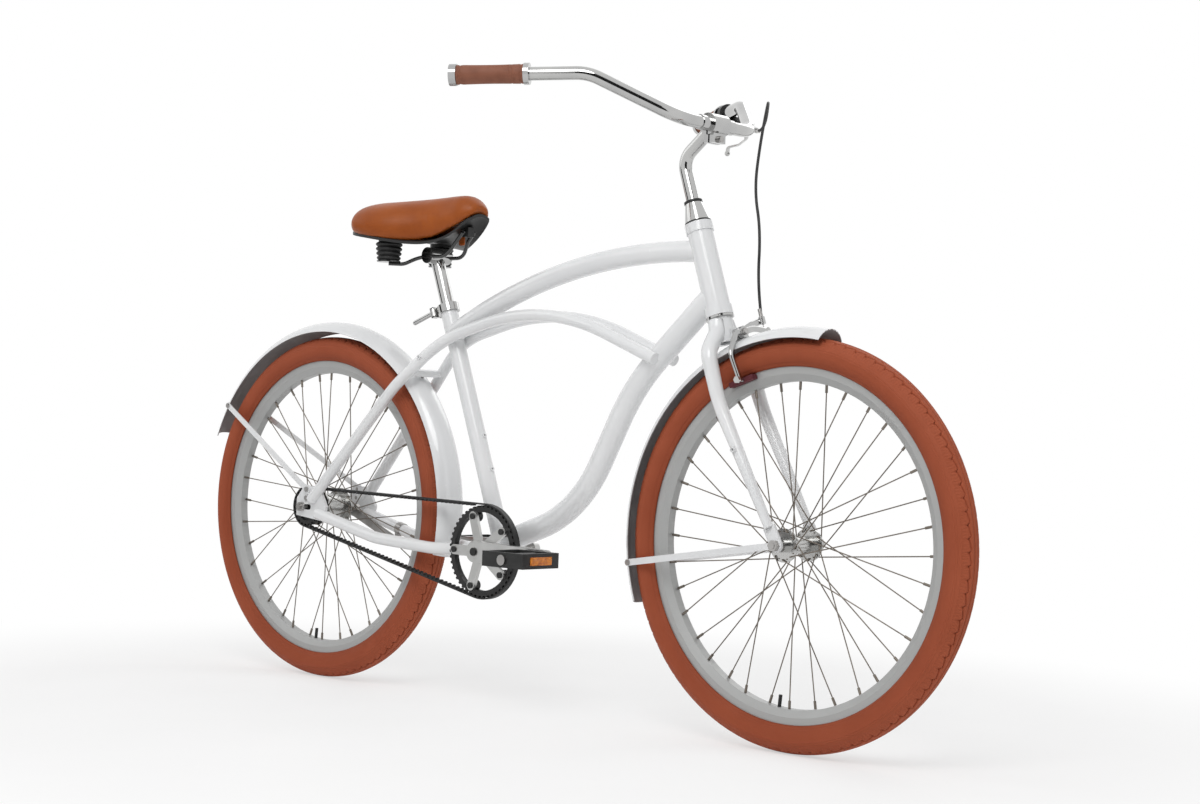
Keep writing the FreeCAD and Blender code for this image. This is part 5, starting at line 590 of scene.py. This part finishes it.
def cushion_blank(inset):
    """The cushion before it swells, with its ends rounded off."""
    rear_end = np.linspace(0, end_share, end_rows)
    between_start = end_share + between_gap
    between = np.linspace(between_start, 1 - between_start, between_rows)
    shares = np.concatenate([rear_end, between, 1 - rear_end[::-1]])
    stations = curve_through(saddle_stations, shares)
    rings = []
    for along, (half, low, high) in zip(shares, stations):
        near_end = max(0.0, 1 - min(along, 1 - along) / end_share)
        round_off = max(least_end, math.sqrt(max(0.0, 1 - near_end ** 2)))
        narrowed = half * (end_width_share + (1 - end_width_share) * round_off)
        thinned = (high - low) / 2 * (end_thickness_share + (1 - end_thickness_share) * round_off)
        middle = (low + high) / 2
        rings.append(saddle_ring(along, narrowed, middle - thinned, middle + thinned, inset))
    return surface("saddle_cushion", rings)


def voxel_remesh(piece, voxel):
    modifier = piece.modifiers.new("Remesh", "REMESH")
    modifier.mode = "VOXEL"
    modifier.voxel_size = voxel
    apply_modifiers(piece)


def apply_modifiers(piece):
    """Keeps the piece's shape as its modifiers leave it."""
    graph = bpy.context.evaluated_depsgraph_get()
    shape = bpy.data.meshes.new_from_object(piece.evaluated_get(graph))
    piece.modifiers.clear()
    old = piece.data
    piece.data = shape
    bpy.data.meshes.remove(old)


def swell(piece):
    """Blows the cushion up as stuffed cloth; its underside stays on the pan."""
    start = np.array([vertex.co for vertex in piece.data.vertices])
    held = piece.vertex_groups.new(name="held")
    normals = np.array([vertex.normal for vertex in piece.data.vertices])
    held.add([int(i) for i in np.nonzero(normals[:, 2] < held_below)[0]], 1.0, "REPLACE")
    cloth = piece.modifiers.new("Cloth", "CLOTH")
    cloth.settings.quality = 6
    cloth.settings.tension_stiffness = 25
    cloth.settings.compression_stiffness = 25
    cloth.settings.bending_stiffness = 3
    cloth.settings.use_pressure = True
    cloth.settings.uniform_pressure_force = cushion_pressure
    cloth.settings.effector_weights.gravity = 0
    cloth.settings.vertex_group_mass = "held"
    cloth.point_cache.frame_start = 1
    cloth.point_cache.frame_end = cushion_frames
    scene = bpy.context.scene
    for step in range(1, cushion_frames + 1):
        scene.frame_set(step)
    apply_modifiers(piece)
    scene.frame_set(1)
    moved = np.array([vertex.co for vertex in piece.data.vertices])
    shift = moved - start
    far = np.linalg.norm(shift, axis=1)
    scale = np.minimum(1.0, cushion_cap / np.maximum(far, 1e-9))
    piece.data.vertices.foreach_set("co", (start + shift * scale[:, None]).astype(np.float32).ravel())
    piece.data.update()


def make_cushion():
    """The padded leather cover of the saddle."""
    piece = cushion_blank(cushion_inset)
    voxel_remesh(piece, cushion_voxel)
    smoothing = piece.modifiers.new("Smooth", "SMOOTH")
    smoothing.factor = 0.5
    smoothing.iterations = 6
    apply_modifiers(piece)
    swell(piece)
    finer = piece.modifiers.new("Subdivision", "SUBSURF")
    finer.levels = 1
    finer.render_levels = 1
    apply_modifiers(piece)
    dress(piece, tan_leather, "saddle", "tan_leather", "saddle_cover")


def make_tab():
    """A small leather tab that hangs under the saddle's nose."""
    turns = np.arange(tab_corners) * math.tau / tab_corners
    across, rise = np.cos(turns), np.sin(turns)
    x = tab_place.x + tab_width / 2 * np.sign(across) * np.abs(across) ** tab_squareness
    z = tab_place.z + tab_height / 2 * np.sign(rise) * np.abs(rise) ** tab_squareness
    rows = [np.stack([x, np.full(tab_corners, side * tab_thickness / 2), z], axis=1) for side in (-1, 1)]
    dress(surface("saddle_tab", rows), tan_leather, "saddle", "tan_leather", sharp=40)


make_cushion()
make_tab()


# Boots and springs

boot_low, boot_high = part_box("spring_boots")
boot_height = boot_high.z - boot_low.z
boot_radius = (boot_high.x - boot_low.x) / 2
boot_middle_x = (boot_low.x + boot_high.x) / 2
boot_middle_y = boot_high.y - boot_radius
boot_ribs = 4
boot_rib_depth = 0.0042
boot_taper = 0.0035
boot_rib_points = 12
boot_roundness = 0.7
spring_radius = 0.0125
spring_wire = 0.0016
spring_turns = 5
spring_turn_points = 24


def lathe(name, profile, centre, segments=64):
    """A closed solid turned round an upright axis; the profile is radius and height."""
    turns = np.arange(segments) * math.tau / segments
    rows = [np.stack([centre[0] + radius * np.cos(turns), centre[1] + radius * np.sin(turns),
                      np.full(segments, height)], axis=1) for radius, height in profile]
    return surface(name, rows)


def boot_profile():
    """Rounded ribs, a little narrower at the foot."""
    steps = boot_ribs * boot_rib_points
    profile = []
    for step in range(steps + 1):
        share = step / steps
        bulge = abs(math.sin(math.pi * share * boot_ribs)) ** boot_roundness
        radius = boot_radius - boot_rib_depth * (1 - bulge) - boot_taper * (1 - share) ** 2
        profile.append((radius, boot_low.z + boot_height * share))
    return profile


def tube_along(name, path, radius, segments=12):
    """A round tube along a list of points."""
    path = [Vector(place) for place in path]
    side = None
    rows = []
    for index, place in enumerate(path):
        run = (path[min(index + 1, len(path) - 1)] - path[max(index - 1, 0)]).normalized()
        if side is None:
            side = run.orthogonal().normalized()
        side = (side - run * side.dot(run)).normalized()
        other = run.cross(side)
        rows.append([tuple(place + (side * math.cos(k * math.tau / segments)
                                    + other * math.sin(k * math.tau / segments)) * radius)
                     for k in range(segments)])
    return surface(name, rows)


def coil_path(centre_y):
    """Points along a spring, from the foot of its boot to the top."""
    shares = np.linspace(0, 1, spring_turns * spring_turn_points + 1)
    turns = math.tau * spring_turns * shares
    rise = (boot_height - spring_wire * 2) * shares
    return np.stack([boot_middle_x + spring_radius * np.cos(turns), centre_y + spring_radius * np.sin(turns),
                     boot_low.z + spring_wire + rise], axis=1)


def make_boots():
    """Ribbed rubber boots, and the coil springs inside them."""
    boots = [lathe(f"boot_{side}", boot_profile(), (boot_middle_x, side * boot_middle_y))
             for side in (-1, 1)]
    boot = dress(joined("spring_boot_ribs", boots), black_rubber, "seatpost", "black_rubber", "spring_boots")
    coils = [tube_along(f"coil_{side}", coil_path(side * boot_middle_y), spring_wire, 8) for side in (-1, 1)]
    coil = dress(joined("saddle_coils", coils), plated_steel, "seatpost", "plated_steel", "saddle_springs")
    for piece in (boot, coil):
        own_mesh(piece)


make_boots()


# Grips

# The straight stretch of the handlebar on the left that carries the grip.
bar_end = Vector((0.07811, 0.325, 1.076))
bar_shoulder = Vector((0.26711, 0.201, 1.082))
grip_start = 0.009
grip_length = 0.112
grip_radius = 0.016
grip_bore = 0.0112
grip_rows = 113
grip_columns = 96
# The grip's relief in millimetres: half width and depth of its grooves, the rings at its ends, its waist.
grip_groove = (1.5, 0.9)
end_ring_place = 5.0
end_ring = (1.2, 1.1)
waist_start = 8.0
waist_length = 96.0
waist_depth = 0.7


def line_distance(along, turn, start, end):
    """Distance in millimetres on the unrolled grip from a point to a stretch between two points."""
    place = np.stack([along, turn], axis=-1)
    start, end = np.array(start, float), np.array(end, float)
    run = end - start
    share = np.clip(((place - start) @ run) / (run @ run), 0, 1)[..., None]
    return np.linalg.norm(place - (start + share * run), axis=-1)


# Grooves on the unrolled grip, in millimetres along it and round it: a long slant and two short ones.
grip_grooves = [((8, 4), (86, 14)), ((86, 14), (97, -8)), ((97, -8), (93, -36)), ((86, 14), (90, 30)),
                ((8, 4), (6, -22)), ((6, -22), (6, 26))]


def grip_depth(along, turn):
    """How deep the grip's surface lies below its full radius, in millimetres."""
    girth = math.tau * grip_radius * 1000
    depth = np.zeros_like(along)
    for shift in (-girth, -girth / 2, 0, girth / 2, girth):
        for start, end in grip_grooves:
            distance = line_distance(along, turn + shift, start, end)
            depth = np.maximum(depth, groove(distance, *grip_groove))
    ends = np.minimum(along, grip_length * 1000 - along)
    depth = np.maximum(depth, groove(ends - end_ring_place, *end_ring))
    waist = waist_depth * np.sin(np.clip((along - waist_start) / waist_length, 0, 1) * math.pi)
    return depth + waist


def make_grip(side):
    """A grip sleeve with its bore, on the left for 1 and on the right for -1."""
    end = Vector((bar_end.x, bar_end.y * side, bar_end.z))
    inward = (Vector((bar_shoulder.x, bar_shoulder.y * side, bar_shoulder.z)) - end).normalized()
    up = (Vector((0, 0, 1)) - inward * inward.z).normalized()
    out = inward.cross(up)
    turns = np.arange(grip_columns) * math.tau / grip_columns
    along = np.linspace(0, grip_length * 1000, grip_rows)
    grid_along, grid_turn = np.meshgrid(along, (turns - math.pi) * grip_radius * 1000, indexing="ij")
    radius = grip_radius - grip_depth(grid_along, grid_turn) * MM
    rings = [np.full(grip_columns, grip_bore), *radius, np.full(grip_columns, grip_bore)]
    stations = [0.0, *along, along[-1]]
    rows = []
    for ring, station in zip(rings, stations):
        middle = np.array(end + inward * (grip_start + station * MM))
        rows.append(middle + ring[:, None] * (np.cos(turns)[:, None] * np.array(up)
                                              + np.sin(turns)[:, None] * np.array(out)))
    return surface(f"grip_{side}", rows, loop_rows=True)


dress(joined("grip_sleeves", [make_grip(-1), make_grip(1)]), brown_rubber, "steering", "brown_rubber",
      "grips")


# Brake cable

cable_diameter = 0.005
# Listed points that steer the sleeve from the lever's barrel to the caliper.
cable_route = [(0.2931, 0.2147, 1.0395), (0.3198, 0.2028, 1.0325), (0.3451, 0.1820, 1.1000),
               (0.3652, 0.1327, 1.0000), (0.3841, 0.0973, 0.9180), (0.4106, 0.0840, 0.8470),
               (0.4175, 0.0720, 0.7528), (0.4308, 0.0680, 0.7007)]
wire_reach = 0.036
wire_radius = 0.0008
ferrule_radius = 0.0034
top_ferrule = 0.010
low_ferrule = 0.014


def spline_points(route):
    """Points along the smooth line that a route's points control."""
    curve = bpy.data.curves.new("route", "CURVE")
    curve.dimensions = "3D"
    curve.resolution_u = 16
    spline = curve.splines.new("NURBS")
    spline.points.add(len(route) - 1)
    for point, place in zip(spline.points, route):
        point.co = (*place, 1)
    spline.order_u = 3
    spline.use_endpoint_u = True
    holder = bpy.data.objects.new("route", curve)
    bpy.context.scene.collection.objects.link(holder)
    graph = bpy.context.evaluated_depsgraph_get()
    line = bpy.data.meshes.new_from_object(holder.evaluated_get(graph))
    places = [vertex.co.copy() for vertex in line.vertices]
    bpy.data.objects.remove(holder)
    bpy.data.meshes.remove(line)
    return places


def rod(name, start, run, radius):
    """A short straight round bar."""
    return tube_along(name, [start, start + run / 2, start + run], radius, 16)


def make_cable():
    """The sleeve from the lever to the caliper with its end ferrules, and the wire below it."""
    places = spline_points(cable_route)
    sleeve = tube_along("brake_cable_sleeve", places, cable_diameter / 2, 16)
    dress(sleeve, black_plastic, "steering", "black_plastic", "front_brake_cable")
    end = Vector(cable_route[-1])
    down = -head_up
    wire = rod("brake_cable_wire", end, down * wire_reach, wire_radius)
    dress(wire, plated_steel, "steering", "plated_steel")
    start = Vector(cable_route[0])
    run = (Vector(cable_route[1]) - start).normalized()
    ferrules = [rod("ferrule_top", start, run * top_ferrule, ferrule_radius),
                rod("ferrule_low", end, -down * low_ferrule, ferrule_radius)]
    dress(joined("cable_ferrules", ferrules), plated_steel, "steering", "plated_steel", sharp=40)


make_cable()


# Floor, light and camera

floor_size = 40.0
floor_white_start = 0.9
floor_white_end = 1.7
floor_lift = 0.55
world_floor = -0.1
world_top = 0.9


def sheet(name, width, height):
    """A flat rectangle about the origin."""
    x, y = width / 2, height / 2
    mesh = bpy.data.meshes.new(name)
    mesh.from_pydata([(-x, -y, 0), (x, -y, 0), (x, y, 0), (-x, y, 0)], [], [(0, 1, 2, 3)])
    made = bpy.data.objects.new(name, mesh)
    bpy.context.scene.collection.objects.link(made)
    return made


def make_floor():
    """A pale floor that keeps the bicycle's shadow and fades to the white of the background."""
    floor = sheet("floor", floor_size, floor_size)
    made = Finish("floor", Roughness=0.9, Specular_IOR_Level=0.1)
    made.tint(made.noise(3.0), (0.90, 0.90, 0.90), (0.93, 0.93, 0.93))
    reach = made.add("ShaderNodeVectorMath", {0: made.place}, operation="LENGTH").outputs["Value"]
    fade = made.add("ShaderNodeMapRange", {"Value": reach, "From Min": floor_white_start,
                                           "From Max": floor_white_end, "To Min": floor_lift},
                    interpolation_type="SMOOTHSTEP")
    rays = made.add("ShaderNodeLightPath")
    seen = rays.outputs["Is Camera Ray"]
    for kind in ("Is Glossy Ray", "Is Transmission Ray"):
        seen = made.add("ShaderNodeMath", {0: seen, 1: rays.outputs[kind]}, operation="MAXIMUM").outputs[0]
    share = made.add("ShaderNodeMath", {0: fade.outputs[0], 1: seen}, operation="MULTIPLY")
    white = made.add("ShaderNodeEmission", {"Color": (1, 1, 1, 1), "Strength": 1.0})
    mixed = made.add("ShaderNodeMixShader", {0: share.outputs[0], 1: made.shader.outputs[0],
                                             2: white.outputs[0]})
    output = made.material.node_tree.nodes["Material Output"]
    made.links.new(mixed.outputs[0], output.inputs["Surface"])
    floor.data.materials.append(made.material)


def make_world(low, high):
    """Soft light, brighter from above, with a white background behind the bicycle."""
    world = bpy.data.worlds.new("studio")
    bpy.context.scene.world = world
    world.use_nodes = True
    tree = world.node_tree
    tree.nodes.clear()
    place = tree.nodes.new("ShaderNodeTexCoord")
    split = tree.nodes.new("ShaderNodeSeparateXYZ")
    span = tree.nodes.new("ShaderNodeMapRange")
    span.interpolation_type = "SMOOTHSTEP"
    levels = {"From Min": world_floor, "From Max": world_top, "To Min": low, "To Max": high}
    for name, value in levels.items():
        span.inputs[name].default_value = value
    ambient = tree.nodes.new("ShaderNodeBackground")
    ambient.inputs["Color"].default_value = (1, 1, 1, 1)
    backdrop = tree.nodes.new("ShaderNodeBackground")
    backdrop.inputs["Color"].default_value = (1, 1, 1, 1)
    rays = tree.nodes.new("ShaderNodeLightPath")
    mixed = tree.nodes.new("ShaderNodeMixShader")
    output = tree.nodes.new("ShaderNodeOutputWorld")
    tree.links.new(place.outputs["Generated"], split.inputs[0])
    tree.links.new(split.outputs["Z"], span.inputs["Value"])
    tree.links.new(span.outputs[0], ambient.inputs["Strength"])
    seen = rays.outputs["Is Camera Ray"]
    for kind in ("Is Glossy Ray", "Is Transmission Ray"):
        either = tree.nodes.new("ShaderNodeMath")
        either.operation = "MAXIMUM"
        tree.links.new(seen, either.inputs[0])
        tree.links.new(rays.outputs[kind], either.inputs[1])
        seen = either.outputs[0]
    tree.links.new(seen, mixed.inputs[0])
    tree.links.new(ambient.outputs[0], mixed.inputs[1])
    tree.links.new(backdrop.outputs[0], mixed.inputs[2])
    tree.links.new(mixed.outputs[0], output.inputs["Surface"])


def dark_card():
    made = Finish("dark_card", Roughness=0.9)
    made.tint(made.noise(2.0), (0.012, 0.012, 0.012), (0.022, 0.022, 0.022))
    return made.material


def make_card(name, finish, place, aim, width, height):
    """A dark card outside the picture, which bright metal reflects as a dark streak."""
    card = sheet(name, width, height)
    card.location = place
    card.rotation_mode = "QUATERNION"
    card.rotation_quaternion = (Vector(aim) - Vector(place)).to_track_quat("Z", "Y")
    card.visible_camera = False
    card.data.materials.append(finish)


def make_lamp(name, place, aim, size, power):
    """A round lamp that points at its aim."""
    lamp = bpy.data.lights.new(name, "AREA")
    lamp.shape = "DISK"
    lamp.size = size
    lamp.energy = power
    holder = bpy.data.objects.new(name, lamp)
    holder.location = place
    holder.rotation_mode = "QUATERNION"
    holder.rotation_quaternion = (Vector(aim) - Vector(place)).to_track_quat("-Z", "Y")
    bpy.context.scene.collection.objects.link(holder)


camera_place = Vector((2.539384, -2.674913, 0.521284))
camera_forward = Vector((-0.66799962, 0.74411551, 0.00828357))
camera_right = Vector((0.74386703, 0.66738064, 0.03556578))
image_width = 1200
focal_pixels = 2073.923
sensor_width = 36.0


def make_camera():
    """The photographed view."""
    lens = bpy.data.cameras.new("camera")
    lens.sensor_fit = "HORIZONTAL"
    lens.sensor_width = sensor_width
    lens.lens = focal_pixels * sensor_width / image_width
    lens.clip_end = 100.0
    camera = bpy.data.objects.new("camera", lens)
    up = camera_right.cross(camera_forward)
    turned = Matrix((camera_right, up, -camera_forward)).transposed()
    camera.matrix_world = Matrix.Translation(camera_place) @ turned.to_4x4()
    bpy.context.scene.collection.objects.link(camera)
    bpy.context.scene.camera = camera


make_floor()
make_world(0.12, 0.75)
make_lamp("key_lamp", (1.6, -2.6, 3.2), (0.1, 0.0, 0.5), 2.2, 60.0)
make_lamp("fill_lamp", (-2.6, -2.0, 2.2), (-0.2, 0.0, 0.5), 2.0, 14.0)
make_lamp("back_lamp", (-0.5, 3.0, 2.6), (0.0, 0.0, 0.5), 2.0, 16.0)
card_finish = dark_card()
make_card("camera_card", card_finish, (3.9, -4.1, 2.4), (0.0, 0.0, 2.4), 3.8, 5.0)
make_card("side_card", card_finish, (-4.2, -3.2, 2.4), (0.0, 0.0, 2.4), 2.0, 5.0)
make_camera()
bpy.context.scene.view_settings.view_transform = "Standard"
